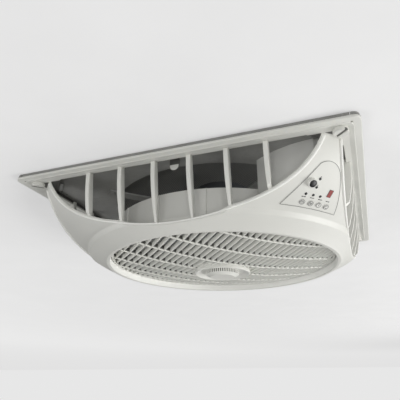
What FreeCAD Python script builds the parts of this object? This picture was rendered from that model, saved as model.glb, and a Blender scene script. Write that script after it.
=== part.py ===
"""Square drop-ceiling fan with a rotating louvre grille.

Sizes are in millimetres and +Z points up. The origin is the centre of the face that
meets the ceiling, so the ceiling plane is z = 0, the cowl hangs below it and the motor
dome stands above it. The side with the control panel is the +X, -Y corner.
"""
import FreeCAD, Part
import math
import os

V = FreeCAD.Vector
ORIGIN = V(0, 0, 0)
UP = V(0, 0, 1)
SIDES = (0, 90, 180, 270)
CORNERS = (45, 135, 225, 315)
CONTROL_CORNER = -45
ROOT2 = math.sqrt(2)

# Clearances
running_fit = 0.05
seat_gap = 0.3
drill_clearance = 0.1

# Ceiling frame and gasket
frame_side = 595.0
frame_corner_radius = 12.0
frame_edge_fillet = 1.5
flange_width = 28.5
flange_thickness = 3.6
rim_width = 11.5
rim_step = 0.8
upstand_wall = 3.0
opening_corner_inset = 35.4
gasket_thickness = 5.2
gasket_width = 12.0
gasket_edge_inset = 1.5
gasket_end_inset = 15.0
gasket_joint = 1.0
fixing_inset = 13.5
fixing_hole_radius = 2.25
fixing_boss_radius = 4.5

# Quarter-turn corner screws
corner_screw_inset = 29.5
corner_screw_head_radius = 11.5
corner_screw_head_height = 7.0
corner_screw_head_round = 1.5
corner_screw_slot_width = 5.0
corner_screw_slot_depth = 3.5
corner_screw_shank_radius = 4.0
corner_screw_boss_radius = 8.0
corner_screw_bar_length = 16.0
corner_screw_bar_width = 5.0
corner_screw_bar_height = 3.0

# Deck plate and motor dome
deck_edge_inset = 17.5
deck_corner_radius = 15.0
deck_thickness = 2.0
deck_hole_margin = 3.0
dome_rise = 78.0
dome_sheet = 1.2
dome_flange_width = 17.0
dome_mouth_margin = 1.5
dome_screw_count = 8
screw_radius = 2.0
screw_head_radius = 3.8
screw_head_height = 2.4

# Hanger brackets
hanger_spacing_x = 528.0
hanger_spacing_y = 400.0
hanger_width = 30.0
hanger_reach = 26.0
hanger_height = 32.0
hanger_sheet = 2.0
hanger_hole_radius = 4.5
hanger_hole_edge = 12.0
rivet_radius = 2.0
rivet_head_radius = 3.5
rivet_head_height = 1.4
rivet_spacing = 16.0

# Cowl
cowl_wall = 3.0
column_setback = 2.0
column_draft = 6.4
lip_radius = 232.0
lip_drop = 126.5
lip_round = 1.2
band_width = 37.0
band_rise = 16.5
step_run = 5.2
step_rise = 8.0
step_round = 5.0
leg_top_inset = 14.6
bowl_bulge = 12.9
foot_thickness = 3.0
post_radius = 6.0
post_inset = 25.0
post_screw_depth = 16.0

# Intake guard ribs
rib_pitch = 62.8
rib_count = 6
rib_shift = 1.6
rib_neck_top = -3.0
rib_neck_depth = 4.0
rib_head_out = 7.0
rib_bow_radius = 250.0
rib_inner_draft = 9.2
rib_top_width = 7.6
rib_waist_z = -60.0
rib_waist_width = 6.8
rib_foot_width = 3.6

# Duct ring and grille spider
duct_inset = 10.0
duct_wall = 2.5
duct_top_drop = 45.0
duct_flange = 3.0
duct_seat_rise = 28.5
duct_rib_count = 16
duct_rib_width = 1.4
duct_rib_depth = 2.0
spider_thickness = 3.0
spider_ring_width = 16.0
spider_arm_width = 14.0
spider_arm_web = 2.4
spider_arm_height = 5.0
spider_hub_radius = 32.0

# Motor bracket and motor
bracket_thickness = 3.0
bracket_arm_width = 24.0
motor_radius = 58.0
motor_wall = 2.0
motor_top = 45.0
motor_bottom = -30.0
motor_flange_width = 12.0
motor_flange_thickness = 3.0
motor_cap_thickness = 3.0
bearing_radius = 16.0
bearing_width = 10.0
bearing_housing_wall = 3.0
stator_bore_radius = 34.0
stator_bottom = -14.0
stator_top = 26.0
air_gap = 0.6
shaft_radius = 6.0
shaft_clearance = 1.0
rotor_overhang = 3.0

# Fan blades and hub
blade_count = 5
blade_tip_gap = 14.5
blade_mid_z = -64.0
blade_thickness = 2.5
blade_root_chord = 66.0
blade_root_pitch = 36.0
blade_tip_chord = 104.0
blade_tip_pitch = 20.0
hub_radius = 42.0
hub_wall = 3.0
hub_height = 36.0
hub_web = 4.0
hub_bore_boss_radius = 11.0
blade_nut_radius = 10.0
blade_nut_sides = 6
blade_nut_height = 8.0

# Louvre grille, its gear motor and hub
grille_rim_gap = 2.5
grille_rim_wall = 3.5
grille_rim_drop = 0.5
grille_recess = 12.5
grille_sag = 22.0
grille_depth = 9.0
fin_pitch = 12.0
fin_thickness = 1.8
bar_pitch = 60.0
bar_thickness = 2.8
lattice_turn = 45.0
grille_hub_plate = 4.0
grille_hub_margin = 3.0
grille_hub_lift = 5.0
grille_boss_radius = 12.0
grille_boss_height = 3.0
louver_motor_radius = 25.0
louver_motor_height = 18.0
louver_shaft_radius = 3.5
louver_shaft_engagement = 13.0
dish_radius = 57.0
dish_lip_width = 5.0
dish_lip_height = 8.5
dish_floor = 3.0
dish_round = 1.8
knob_radius = 34.0
knob_face_radius = 24.0
knob_rim_height = 7.0
knob_height = 11.5
knob_flute_count = 48
knob_flute_radius = 0.9

# Electronics corner
box_right_inset = 21.0
box_near_inset = 27.0
box_side_x = 128.0
box_shoulder = 202.0
box_bow = 8.0
box_chamfer = 8.0
box_wall = 2.0
box_cowl_gap = 0.5
box_duct_gap = 10.0
box_post_gap = 1.0
box_foot_gap = 6.0
lid_thickness = 2.0
lid_drop = 88.0
board_standoff = 9.0
board_thickness = 1.6
board_width = 80.0
board_height = 62.0
board_top_drop = 12.0
standoff_radius = 3.0
standoff_inset = 6.0
capacitor_radius = 12.0
capacitor_length = 44.0
capacitor_drop = 56.0
terminal_width = 42.0
terminal_height = 16.0
terminal_depth = 13.0
terminal_drop = 20.0
gland_diagonal = 268.0
gland_thread_radius = 8.0
gland_bore_radius = 4.5
gland_flange_radius = 12.0
gland_flange_height = 6.0
gland_dome_radius = 9.5
gland_dome_height = 14.0
gland_thread_length = 9.0
gland_nut_height = 5.0

# Control panel, placed by tangential offset and height on the cowl's leg
panel_skin = 0.6
panel_left = -46.4
panel_right = 58.4
panel_bottom_z = -96.6
panel_shoulder_left = -10.1
panel_shoulder_left_z = -47.9
panel_crown = 7.4
panel_crown_z = -43.1
panel_shoulder_right = 30.7
panel_shoulder_right_z = -55.3
button_count = 4
button_radius = 4.6
button_first = -13.5
button_pitch = 15.3
button_z = -91.6
button_proud = 1.3
button_tail = 7.0
lens_radius = 2.0
lens_proud = 0.3
lens_depth = 4.0
lens_row_z = -83.4
lens_row_first = -14.4
lens_row_pitch = 13.25
lens_row_count = 3
lens_column_offset = -2.1
lens_column_z = (-65.5, -75.0)
window_offset = 26.9
window_z = -78.4
window_width = 7.2
window_height = 12.5
window_depth = 5.0
sensor_offset = -14.3
sensor_z = -71.0
sensor_radius = 6.5
sensor_proud = 8.0
sensor_root = 3.2
sensor_lens_radius = 5.4
sensor_lens_depth = 1.6
button_board_offset = 9.45
button_board_z = -85.0
button_board_width = 55.0
button_board_height = 32.0
button_board_depth = 12.0
button_board_post_radius = 2.0
button_board_post_inset = 3.0
switch_side = 4.5
switch_height = 1.8

# Tether tab under the deck at the middle of one side
tab_width = 17.0
tab_length = 22.0
tab_thickness = 3.0
tab_inset = 14.0

# Places worked out from the sizes above
frame_half = frame_side / 2
flange_top = -gasket_thickness
flange_bottom = flange_top - flange_thickness
opening_half = frame_half - flange_width
opening_diagonal = opening_half * ROOT2 - opening_corner_inset
column_half = opening_half - column_setback
deck_half = frame_half - deck_edge_inset
corner_screw_place = frame_half - corner_screw_inset
fixing_place = frame_half - fixing_inset

lip_z = -lip_drop
lip_inner_radius = lip_radius - cowl_wall
band_radius = lip_radius + band_width
band_z = lip_z + band_rise
step_radius = band_radius + step_run
step_z = band_z + step_rise
leg_top_radius = column_half * ROOT2 - leg_top_inset
post_diagonal = leg_top_radius - post_inset
chord_r = leg_top_radius - step_radius
chord_z = flange_bottom - step_z
chord = math.hypot(chord_r, chord_z)
bowl_radius = (chord * chord / 4 + bowl_bulge * bowl_bulge) / (2 * bowl_bulge)
bowl_centre_r = (step_radius + leg_top_radius) / 2 - (bowl_radius - bowl_bulge) * chord_z / chord
bowl_centre_z = (step_z + flange_bottom) / 2 + (bowl_radius - bowl_bulge) * chord_r / chord

duct_radius = lip_radius - duct_inset
duct_bore = duct_radius - duct_wall
duct_top = -duct_top_drop
duct_seat = lip_z + duct_seat_rise
spider_bottom = duct_seat - spider_thickness
spider_radius = lip_inner_radius - 2 * seat_gap
deck_hole_radius = duct_radius + deck_hole_margin
dome_mouth_radius = deck_hole_radius + dome_mouth_margin
dome_flange_radius = dome_mouth_radius + dome_sheet + dome_flange_width
dome_screw_radius = dome_flange_radius - dome_flange_width / 2
motor_flange_radius = motor_radius + motor_flange_width
motor_screw_radius = motor_radius + motor_flange_width / 2
bearing_housing_radius = bearing_radius + bearing_housing_wall
upper_bearing_z = motor_top - motor_wall - bearing_width
hub_bottom = blade_mid_z - hub_height / 2
hub_top = blade_mid_z + hub_height / 2
blade_tip_radius = duct_bore - blade_tip_gap

grille_radius = lip_inner_radius - grille_rim_gap
grille_rim_z = lip_z + grille_recess
grille_centre_z = grille_rim_z - grille_sag
hub_plate_bottom = grille_centre_z + grille_hub_lift
hub_plate_top = hub_plate_bottom + grille_hub_plate
louver_motor_bottom = spider_bottom - louver_motor_height
dish_bottom = hub_plate_bottom - dish_lip_height
knob_top = hub_plate_bottom - dish_floor
knob_bottom = knob_top - knob_height

box_right = opening_half - box_right_inset
box_near = opening_half - box_near_inset
lid_diagonal = duct_radius + box_duct_gap
board_diagonal = lid_diagonal + lid_thickness + board_standoff


def bowl_r(z, offset=0.0):
    """Radius of the bowl's outer face at height z, moved outward by offset along its normal."""
    rise = z - bowl_centre_z
    return bowl_centre_r + math.sqrt((bowl_radius + offset) ** 2 - rise * rise)


def cylinder(radius, low, high, x=0.0, y=0.0):
    """Upright cylinder between two heights."""
    return Part.makeCylinder(radius, high - low, V(x, y, low), UP)


def tube(outer, inner, low, high):
    """Upright ring about the main axis."""
    return cylinder(outer, low, high).cut(cylinder(inner, low, high))


def block(x0, x1, y0, y1, low, high):
    """Box between two corners."""
    return Part.makeBox(x1 - x0, y1 - y0, high - low, V(x0, y0, low))


def prism(points, low, high):
    """Upright prism over a plan outline."""
    corners = [V(x, y, low) for x, y in points]
    outline = Part.makePolygon(corners + corners[:1])
    return Part.Face(outline).extrude(V(0, 0, high - low))


def revolved(points):
    """Ring of a closed outline of (radius, height) points about the main axis."""
    corners = [V(r, 0, z) for r, z in points]
    outline = Part.makePolygon(corners + corners[:1])
    return Part.Face(outline).revolve(ORIGIN, UP, 360)


def revolved_edges(edges):
    """Ring of a closed chain of edges in the XZ plane about the main axis."""
    return Part.Face(Part.Wire(edges)).revolve(ORIGIN, UP, 360)


def line(start, end):
    """Straight edge between two (radius, height) points."""
    return Part.LineSegment(V(start[0], 0, start[1]), V(end[0], 0, end[1])).toShape()


def arc(start, middle, end):
    """Round edge through three (radius, height) points."""
    return Part.Arc(*[V(r, 0, z) for r, z in (start, middle, end)]).toShape()


def turned(shape, degrees):
    """Copy of a shape turned about the main axis."""
    copy = shape.copy()
    copy.rotate(ORIGIN, UP, degrees)
    return copy


def at_angle(radius, degrees):
    """Plan point at a radius and an angle."""
    angle = math.radians(degrees)
    return radius * math.cos(angle), radius * math.sin(angle)


def rounded_square(half, radius, low, high):
    """Square plate with round corners, centred on the main axis."""
    plate = block(-half, half, -half, half, low, high)
    uprights = [e for e in plate.Edges if abs(e.tangentAt(e.FirstParameter).z) > 0.5]
    return plate.makeFillet(radius, uprights)


def corner_cut_square(half, diagonal, low, high):
    """Square prism whose corners are cut flat at a distance from the axis."""
    near = diagonal * ROOT2 - half
    points = [(half, -near), (half, near), (near, half), (-near, half)]
    points += [(-half, near), (-half, -near), (-near, -half), (near, -half)]
    return prism(points, low, high)


def fused(shapes):
    """One solid made of touching or overlapping shapes."""
    result = shapes[0].fuse(shapes[1:])
    return result.removeSplitter()


def group(shapes):
    """Separate solids kept together as one node."""
    return Part.makeCompound(shapes)


def save(name, shape):
    """Write one node."""
    shape.exportStep("parts/" + name + ".step")


def pan_screw(length):
    """Screw standing upright: its head sits on z = 0 and its shank points down."""
    head = cylinder(screw_head_radius, 0, screw_head_height)
    return head.fuse(cylinder(screw_radius, -length, 0)).removeSplitter()


def moved(shape, x, y, z):
    """Copy of a shape shifted by a vector."""
    copy = shape.copy()
    copy.translate(V(x, y, z))
    return copy


def leg_placement(offset, z):
    """Frame on the control leg: x along the leg, y up its face, z out of the face."""
    azimuth = math.radians(CONTROL_CORNER) + offset / bowl_r(z)
    slope = math.asin((z - bowl_centre_z) / bowl_radius)
    normal = V(math.cos(slope) * math.cos(azimuth), math.cos(slope) * math.sin(azimuth), math.sin(slope))
    across = V(-math.sin(azimuth), math.cos(azimuth), 0)
    upward = normal.cross(across)
    x, y = bowl_r(z) * math.cos(azimuth), bowl_r(z) * math.sin(azimuth)
    return FreeCAD.Placement(V(x, y, z), FreeCAD.Rotation(across, upward, normal, "ZXY"))


def on_leg(shape, offset, z):
    """Copy of a shape moved from the origin onto the control leg."""
    copy = shape.copy()
    copy.Placement = leg_placement(offset, z).multiply(copy.Placement)
    return copy


def button_places():
    """Offsets and heights of the buttons."""
    return [(button_first + i * button_pitch, button_z) for i in range(button_count)]


def lens_places():
    """Offsets and heights of the indicator lenses."""
    row = [(lens_row_first + i * lens_row_pitch, lens_row_z) for i in range(lens_row_count)]
    return [(lens_column_offset, z) for z in lens_column_z] + row


def through_leg(shape_radius, place):
    """Hole cutter through the leg and its skin."""
    return on_leg(cylinder(shape_radius, -button_board_depth, sensor_proud), *place)


def control_cutters():
    """Everything that passes through the control leg and its skin."""
    cutters = [through_leg(button_radius + seat_gap, place) for place in button_places()]
    cutters += [through_leg(lens_radius + running_fit, place) for place in lens_places()]
    cutters.append(through_leg(sensor_radius + running_fit, (sensor_offset, sensor_z)))
    half_width = window_width / 2 + running_fit
    half_height = window_height / 2 + running_fit
    slot = block(-half_width, half_width, -half_height, half_height, -button_board_depth, sensor_proud)
    cutters.append(on_leg(slot, window_offset, window_z))
    return cutters


def make_ceiling_frame():
    """Flange with a lower outer rim, an upstand round its opening and corner bosses."""
    rim_half = frame_half - rim_width
    rim_bottom = flange_bottom - rim_step
    plate = rounded_square(frame_half, frame_corner_radius, rim_bottom, flange_top)
    lower_edges = [e for e in plate.Edges if abs(e.BoundBox.ZMax - rim_bottom) < 1e-6]
    plate = plate.makeFillet(frame_edge_fillet, lower_edges)
    plate = plate.cut(rounded_square(rim_half, frame_corner_radius, rim_bottom, flange_bottom))
    outer_diagonal = opening_diagonal + upstand_wall
    wall = corner_cut_square(opening_half + upstand_wall, outer_diagonal, flange_top, 0)
    pieces = [plate, wall]
    for angle in CORNERS:
        x, y = at_angle(corner_screw_place * ROOT2, angle)
        pieces.append(cylinder(corner_screw_boss_radius, flange_top, 0, x, y))
        x, y = at_angle(fixing_place * ROOT2, angle)
        pieces.append(cylinder(fixing_boss_radius, flange_top, 0, x, y))
    frame = fused(pieces)
    cutters = [corner_cut_square(opening_half, opening_diagonal, rim_bottom, 0)]
    for angle in CORNERS:
        x, y = at_angle(corner_screw_place * ROOT2, angle)
        cutters.append(cylinder(corner_screw_shank_radius + running_fit, rim_bottom, 0, x, y))
        x, y = at_angle(fixing_place * ROOT2, angle)
        cutters.append(cylinder(fixing_hole_radius, rim_bottom, 0, x, y))
    return frame.cut(cutters)


def make_ceiling_gasket():
    """Foam strips along the edges, with a small bit in each corner."""
    outer = frame_half - gasket_edge_inset
    inner = outer - gasket_width
    strip_end = frame_half - gasket_end_inset
    strip = block(-strip_end, strip_end, -outer, -inner, flange_top, 0)
    bit_start = strip_end + gasket_joint
    bit = rounded_square(outer, frame_corner_radius - gasket_edge_inset, flange_top, 0)
    bit = bit.common(block(bit_start, outer, bit_start, outer, flange_top, 0))
    bit = bit.cut(cylinder(fixing_boss_radius, flange_top, 0, fixing_place, fixing_place))
    strips = [turned(strip, angle) for angle in SIDES]
    for angle in CORNERS:
        x, y = at_angle(fixing_place * ROOT2, angle)
        boss = cylinder(fixing_boss_radius, flange_top, 0, x, y)
        strips = [piece.cut(boss) for piece in strips]
    return group(strips + [turned(bit, angle) for angle in SIDES])


def make_corner_screw(angle):
    """Quarter-turn screw: slotted head below the frame, cross bar above the deck."""
    head_top = flange_bottom - seat_gap
    head_bottom = head_top - corner_screw_head_height
    head = cylinder(corner_screw_head_radius, head_bottom, head_top)
    rim = [e for e in head.Edges if abs(e.BoundBox.ZMax - head_bottom) < 1e-6]
    head = head.makeFillet(corner_screw_head_round, rim)
    half_slot = corner_screw_slot_width / 2
    reach = corner_screw_head_radius
    slot_top = head_bottom + corner_screw_slot_depth
    head = head.cut(block(-reach, reach, -half_slot, half_slot, head_bottom, slot_top))
    bar_bottom = deck_thickness + seat_gap
    bar_top = bar_bottom + corner_screw_bar_height
    shank = cylinder(corner_screw_shank_radius, head_top, bar_top)
    half_length = corner_screw_bar_length / 2
    half_width = corner_screw_bar_width / 2
    bar = block(-half_length, half_length, -half_width, half_width, bar_bottom, bar_top)
    screw = fused([head, shank, bar])
    x, y = at_angle(corner_screw_place * ROOT2, 0)
    return turned(moved(screw, x, y, 0), angle)


def make_deck_plate():
    """Sheet plate over the frame, with a round hole under the dome."""
    plate = rounded_square(deck_half, deck_corner_radius, 0, deck_thickness)
    cutters = [cylinder(deck_hole_radius, 0, deck_thickness)]
    half_slot = corner_screw_bar_length / 2 + seat_gap
    half_width = corner_screw_bar_width / 2 + seat_gap
    slot = block(-half_width, half_width, -half_slot, half_slot, 0, deck_thickness)
    slot = slot.fuse(cylinder(corner_screw_shank_radius + running_fit, 0, deck_thickness))
    for angle in CORNERS:
        cutters.append(turned(moved(slot, corner_screw_place * ROOT2, 0, 0), angle))
        x, y = at_angle(post_diagonal, angle)
        cutters.append(cylinder(screw_radius + drill_clearance, 0, deck_thickness, x, y))
    for place in dome_screw_places() + rivet_places():
        cutters.append(cylinder(screw_radius + drill_clearance, 0, deck_thickness, *place))
    gland_x, gland_y = at_angle(gland_diagonal, CONTROL_CORNER)
    cutters.append(cylinder(gland_thread_radius + drill_clearance, 0, deck_thickness, gland_x, gland_y))
    return plate.cut(cutters)


def dome_screw_places():
    """Plan points of the screws round the dome's flange."""
    step = 360 / dome_screw_count
    return [at_angle(dome_screw_radius, i * step) for i in range(dome_screw_count)]


def rivet_places():
    """Plan points of the rivets of the hanger brackets."""
    places = []
    base_x = hanger_spacing_x / 2 + hanger_hole_edge - hanger_reach / 2
    for side in (-1, 1):
        for end in (-1, 1):
            for shift in (-rivet_spacing / 2, rivet_spacing / 2):
                places.append((side * base_x, end * hanger_spacing_y / 2 + shift))
    return places


def dome_height(radius, mouth):
    """Height above the deck of a cap that meets the deck at its mouth radius."""
    sphere = (dome_mouth_radius ** 2 + dome_rise ** 2) / (2 * dome_rise)
    return math.sqrt(sphere ** 2 - radius ** 2) - math.sqrt(sphere ** 2 - mouth ** 2)


def make_dome_cover():
    """Shallow sheet cap over the motor, with a flange screwed to the deck."""
    low = deck_thickness
    seam = low + dome_sheet
    mouth = dome_mouth_radius
    outside = mouth + dome_sheet
    inner = [(r, low + dome_height(r, mouth)) for r in (mouth, mouth / 2, 0)]
    outer = [(r, seam + dome_height(r, outside)) for r in (0, outside / 2, outside)]
    edges = [arc(*inner), line(inner[2], outer[0]), arc(*outer)]
    edges.append(line(outer[2], (dome_flange_radius, seam)))
    edges.append(line((dome_flange_radius, seam), (dome_flange_radius, low)))
    edges.append(line((dome_flange_radius, low), inner[0]))
    dome = revolved_edges(edges)
    cutters = [cylinder(screw_radius + drill_clearance, low, seam, *p) for p in dome_screw_places()]
    return dome.cut(cutters)


def make_dome_screws():
    """Screws of the dome's flange; those on the diagonals also hold the motor bracket."""
    screws = []
    seat = deck_thickness + dome_sheet
    for index, place in enumerate(dome_screw_places()):
        length = seat + (bracket_thickness if index % 2 else 0)
        screws.append(moved(pan_screw(length), place[0], place[1], seat))
    return group(screws)


def make_hanger_brackets():
    """Bent strips on the deck whose upper ears take the hanger rods."""
    outer_x = hanger_spacing_x / 2 + hanger_hole_edge
    inner_x = outer_x - hanger_reach
    half = hanger_width / 2
    low = deck_thickness
    high = low + hanger_height
    base = block(inner_x, outer_x, -half, half, low, low + hanger_sheet)
    upright = block(inner_x, inner_x + hanger_sheet, -half, half, low, high)
    ear = block(inner_x, outer_x, -half, half, high - hanger_sheet, high)
    bracket = fused([base, upright, ear])
    hole = cylinder(hanger_hole_radius, high - hanger_sheet, high, hanger_spacing_x / 2, 0)
    rivet_x = outer_x - hanger_reach / 2
    holes = [hole]
    for shift in (-rivet_spacing / 2, rivet_spacing / 2):
        holes.append(cylinder(rivet_radius + drill_clearance, low, low + hanger_sheet, rivet_x, shift))
    bracket = bracket.cut(holes)
    brackets = []
    for angle in (0, 180):
        for end in (-1, 1):
            brackets.append(moved(turned(bracket, angle), 0, end * hanger_spacing_y / 2, 0))
    return group(brackets)


def make_hanger_rivets():
    """Rivets that hold the hanger brackets to the deck."""
    seat = deck_thickness + hanger_sheet
    rivets = []
    for place in rivet_places():
        head = cylinder(rivet_head_radius, seat, seat + rivet_head_height, *place)
        rivets.append(fused([head, cylinder(rivet_radius, 0, seat, *place)]))
    return group(rivets)


def cowl_fill(offset):
    """Space inside the bowl's outer face moved by offset, from the step up to the deck."""
    start = (bowl_r(step_z, offset), step_z)
    end = (bowl_r(flange_bottom, offset), flange_bottom)
    middle_z = (step_z + flange_bottom) / 2
    middle = (bowl_r(middle_z, offset), middle_z)
    top = (end[0], 0)
    edges = [line((0, step_z), start), arc(start, middle, end), line(end, top)]
    edges += [line(top, (0, 0)), line((0, 0), (0, step_z))]
    return revolved_edges(edges)


def level_edges(shape, z, least_radius):
    """Level round edges of a turned shape at a height, from a radius outward."""
    edges = []
    for edge in shape.Edges:
        box = edge.BoundBox
        level = abs(box.ZMax - z) < 1e-6 and abs(box.ZMin - z) < 1e-6
        if level and box.XMax > least_radius - 1e-6:
            edges.append(edge)
    return edges


def cowl_shell():
    """Ring band, step and bowl as one turned shell."""
    slope = math.hypot(band_width, band_rise) / band_width
    inner_z = step_z + cowl_wall
    lip_inside = (lip_inner_radius, lip_z)
    lip_outside = (lip_radius, lip_z)
    band_edge = (band_radius, band_z)
    step_edge = (step_radius, step_z)
    leg_outer = (leg_top_radius, flange_bottom)
    leg_inner = (bowl_r(flange_bottom, -cowl_wall), flange_bottom)
    bowl_foot = (bowl_r(inner_z, -cowl_wall), inner_z)
    step_foot = (band_radius - cowl_wall, band_z + (cowl_wall * slope))
    band_foot = (lip_radius, lip_z + cowl_wall * slope)
    wall_outer = (lip_radius, duct_seat)
    wall_inner = (lip_inner_radius, duct_seat)
    middle_z = (step_z + flange_bottom) / 2
    edges = [line(lip_inside, lip_outside), line(lip_outside, band_edge), line(band_edge, step_edge)]
    edges.append(arc(step_edge, (bowl_r(middle_z), middle_z), leg_outer))
    edges.append(line(leg_outer, leg_inner))
    edges.append(arc(leg_inner, (bowl_r(middle_z, -cowl_wall), middle_z), bowl_foot))
    edges += [line(bowl_foot, step_foot), line(step_foot, band_foot), line(band_foot, wall_outer)]
    edges += [line(wall_outer, wall_inner), line(wall_inner, lip_inside)]
    shell = revolved_edges(edges)
    shell = shell.makeFillet(lip_round, level_edges(shell, lip_z, lip_inner_radius))
    shell = shell.makeFillet(step_round, level_edges(shell, band_z, band_radius))
    return shell.makeFillet(step_round, level_edges(shell, step_z, step_radius))


def board_post_places():
    """Posts of the button board in its own plane."""
    half_width = button_board_width / 2 - button_board_post_inset
    half_height = button_board_height / 2 - button_board_post_inset
    return [(x, y) for x in (-half_width, half_width) for y in (-half_height, half_height)]


def board_posts():
    """Posts from the leg's inside to the button board, cut to the leg's outer face."""
    posts = []
    for x, y in board_post_places():
        post = cylinder(button_board_post_radius, -button_board_depth, 0, x, y)
        posts.append(on_leg(post, button_board_offset, button_board_z))
    inside = cowl_fill(-cowl_wall / 2)
    return [post.common(inside) for post in posts]


def leaning_column():
    """Square column, narrower at its foot, whose sides cut the arches out of the bowl."""
    lean = math.tan(math.radians(column_draft))
    squares = []
    for z in (flange_bottom, lip_z):
        half = column_half - (flange_bottom - z) * lean
        corners = [V(half, -half, z), V(half, half, z), V(-half, half, z), V(-half, -half, z)]
        squares.append(Part.makePolygon(corners + corners[:1]))
    return Part.makeLoft(squares, True, True)


def make_cowl():
    """Bowl cut by the square column, so that each side has an arched intake."""
    high = flange_bottom
    column = leaning_column()
    shell = cowl_shell().common(column)
    foot_inner = post_diagonal - post_radius
    foot_outer = bowl_r(high - foot_thickness, -cowl_wall / 2)
    foot = tube(foot_outer, foot_inner, high - foot_thickness, high).common(column)
    pieces = [shell] + foot.Solids
    for angle in CORNERS:
        x, y = at_angle(post_diagonal, angle)
        pieces.append(cylinder(post_radius, high - post_screw_depth, 0, x, y))
    cowl = fused(pieces + board_posts())
    cutters = control_cutters()
    for angle in CORNERS:
        x, y = at_angle(post_diagonal, angle)
        cutters.append(cylinder(screw_radius + running_fit, -post_screw_depth, 0, x, y))
    return cowl.cut(cutters)


def make_cowl_screws():
    """Screws down through the deck into the posts of the cowl's legs."""
    screw = pan_screw(deck_thickness + post_screw_depth - cowl_wall)
    return group([moved(screw, *at_angle(post_diagonal, angle), deck_thickness) for angle in CORNERS])


def rib_outer(z):
    """Distance from the axis of a rib's bowed outer face at a height."""
    drop = flange_bottom - z
    sweep = rib_bow_radius - math.sqrt(rib_bow_radius ** 2 - drop * drop)
    return opening_half + rib_head_out - sweep


def rib_blank():
    """One rib at the middle of the near side, run on down past the cowl's edge."""
    high, low = flange_bottom, lip_z
    middle = (high + low) / 2
    inner_high = opening_half - rib_neck_depth
    inner_low = inner_high - (high - low) * math.tan(math.radians(rib_inner_draft))
    bow = Part.Arc(*[V(0, -rib_outer(z), z) for z in (high, middle, low)]).toShape()
    corners = [V(0, -rib_outer(low), low), V(0, -inner_low, low)]
    corners += [V(0, -inner_high, high), V(0, -rib_outer(high), high)]
    side = Part.Face(Part.Wire([bow] + Part.makePolygon(corners).Edges))
    half = rib_top_width / 2
    blade = moved(side.extrude(V(rib_top_width, 0, 0)), -half, 0, 0)
    neck = block(-half, half, -opening_half, -inner_high, high, rib_neck_top)
    points = [(half, rib_neck_top), (half, high)]
    points += [(rib_waist_width / 2, rib_waist_z), (rib_foot_width / 2, low)]
    points += [(-x, z) for x, z in reversed(points)]
    front = Part.Face(Part.makePolygon([V(x, 0, z) for x, z in points + points[:1]]))
    return fused([blade, neck]).common(front.extrude(V(0, -frame_half, 0)))


def make_intake_ribs():
    """Upright ribs across each intake, bowed in and tapering down to the cowl."""
    rib = rib_blank()
    shell = cowl_shell()
    ribs = []
    first = rib_shift - rib_pitch * (rib_count - 1) / 2
    for index in range(rib_count):
        place = moved(rib, first + index * rib_pitch, 0, 0)
        pieces = place.cut(shell).Solids
        ribs.append(max(pieces, key=lambda solid: solid.BoundBox.ZMax))
    return group([turned(piece, angle) for angle in SIDES for piece in ribs])


def make_duct_ring():
    """Round duct with a foot flange and fine upright ribs."""
    wall = tube(duct_radius, duct_bore, duct_seat, duct_top)
    flange = tube(lip_radius, duct_bore, duct_seat, duct_seat + duct_flange)
    half = duct_rib_width / 2
    start = duct_radius - duct_wall / 2
    rib = block(start, duct_radius + duct_rib_depth, -half, half, duct_seat + duct_flange, duct_top)
    step = 360 / duct_rib_count
    ribs = [turned(rib, (i + 0.5) * step) for i in range(duct_rib_count)]
    duct = fused([wall, flange] + ribs)
    drill = screw_radius + drill_clearance
    holes = [cylinder(drill, duct_seat, duct_top, *p) for p in spider_screw_places()]
    return duct.cut(holes)


def spider_screw_places():
    """Plan points of the screws that hold the spider under the duct's flange."""
    radius = (duct_bore + lip_inner_radius) / 2
    return [at_angle(radius, angle) for angle in CORNERS]


def make_grille_spider():
    """Fixed cross under the blades that carries the louvre's gear motor."""
    high = duct_seat
    pieces = [tube(spider_radius, spider_radius - spider_ring_width, spider_bottom, high)]
    pieces.append(cylinder(spider_hub_radius, spider_bottom, high))
    reach = spider_radius - spider_ring_width / 2
    half = spider_arm_width / 2
    web = spider_arm_web / 2
    arm = block(0, reach, -half, half, spider_bottom, high)
    rib_end = spider_radius - spider_ring_width
    rib = block(spider_hub_radius / 2, rib_end, -web, web, high, high + spider_arm_height)
    for angle in CORNERS:
        pieces += [turned(arm, angle), turned(rib, angle)]
    spider = fused(pieces)
    holes = [cylinder(louver_shaft_radius + seat_gap, spider_bottom, high)]
    drill = screw_radius + drill_clearance
    holes += [cylinder(drill, spider_bottom, high, *p) for p in spider_screw_places()]
    return spider.cut(holes)


def make_spider_screws():
    """Screws up through the spider into the duct's flange."""
    screw = pan_screw(spider_thickness + duct_flange)
    screw.rotate(ORIGIN, V(1, 0, 0), 180)
    return group([moved(screw, x, y, spider_bottom) for x, y in spider_screw_places()])


def make_louver_motor():
    """Gear motor can under the spider, with a bore that takes the louvre's shaft."""
    can = cylinder(louver_motor_radius, louver_motor_bottom, spider_bottom)
    bore_top = louver_motor_bottom + louver_shaft_engagement + seat_gap
    return can.cut(cylinder(louver_shaft_radius + running_fit, louver_motor_bottom, bore_top))


def make_motor_bracket():
    """Four arms under the deck with a ring that takes the motor's flange."""
    low = -bracket_thickness
    hole = motor_radius + seat_gap
    ring_radius = motor_flange_radius + seat_gap
    half = bracket_arm_width / 2
    reach = dome_screw_radius + bracket_arm_width / 2
    pieces = [cylinder(ring_radius, low, 0)]
    pieces += [turned(block(0, reach, -half, half, low, 0), angle) for angle in CORNERS]
    bracket = fused(pieces)
    holes = [cylinder(hole, low, 0)]
    drill = screw_radius + drill_clearance
    holes += [cylinder(drill, low, 0, *at_angle(motor_screw_radius, angle)) for angle in CORNERS]
    holes += [cylinder(drill, low, 0, *at_angle(dome_screw_radius, angle)) for angle in CORNERS]
    return bracket.cut(holes)


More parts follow.
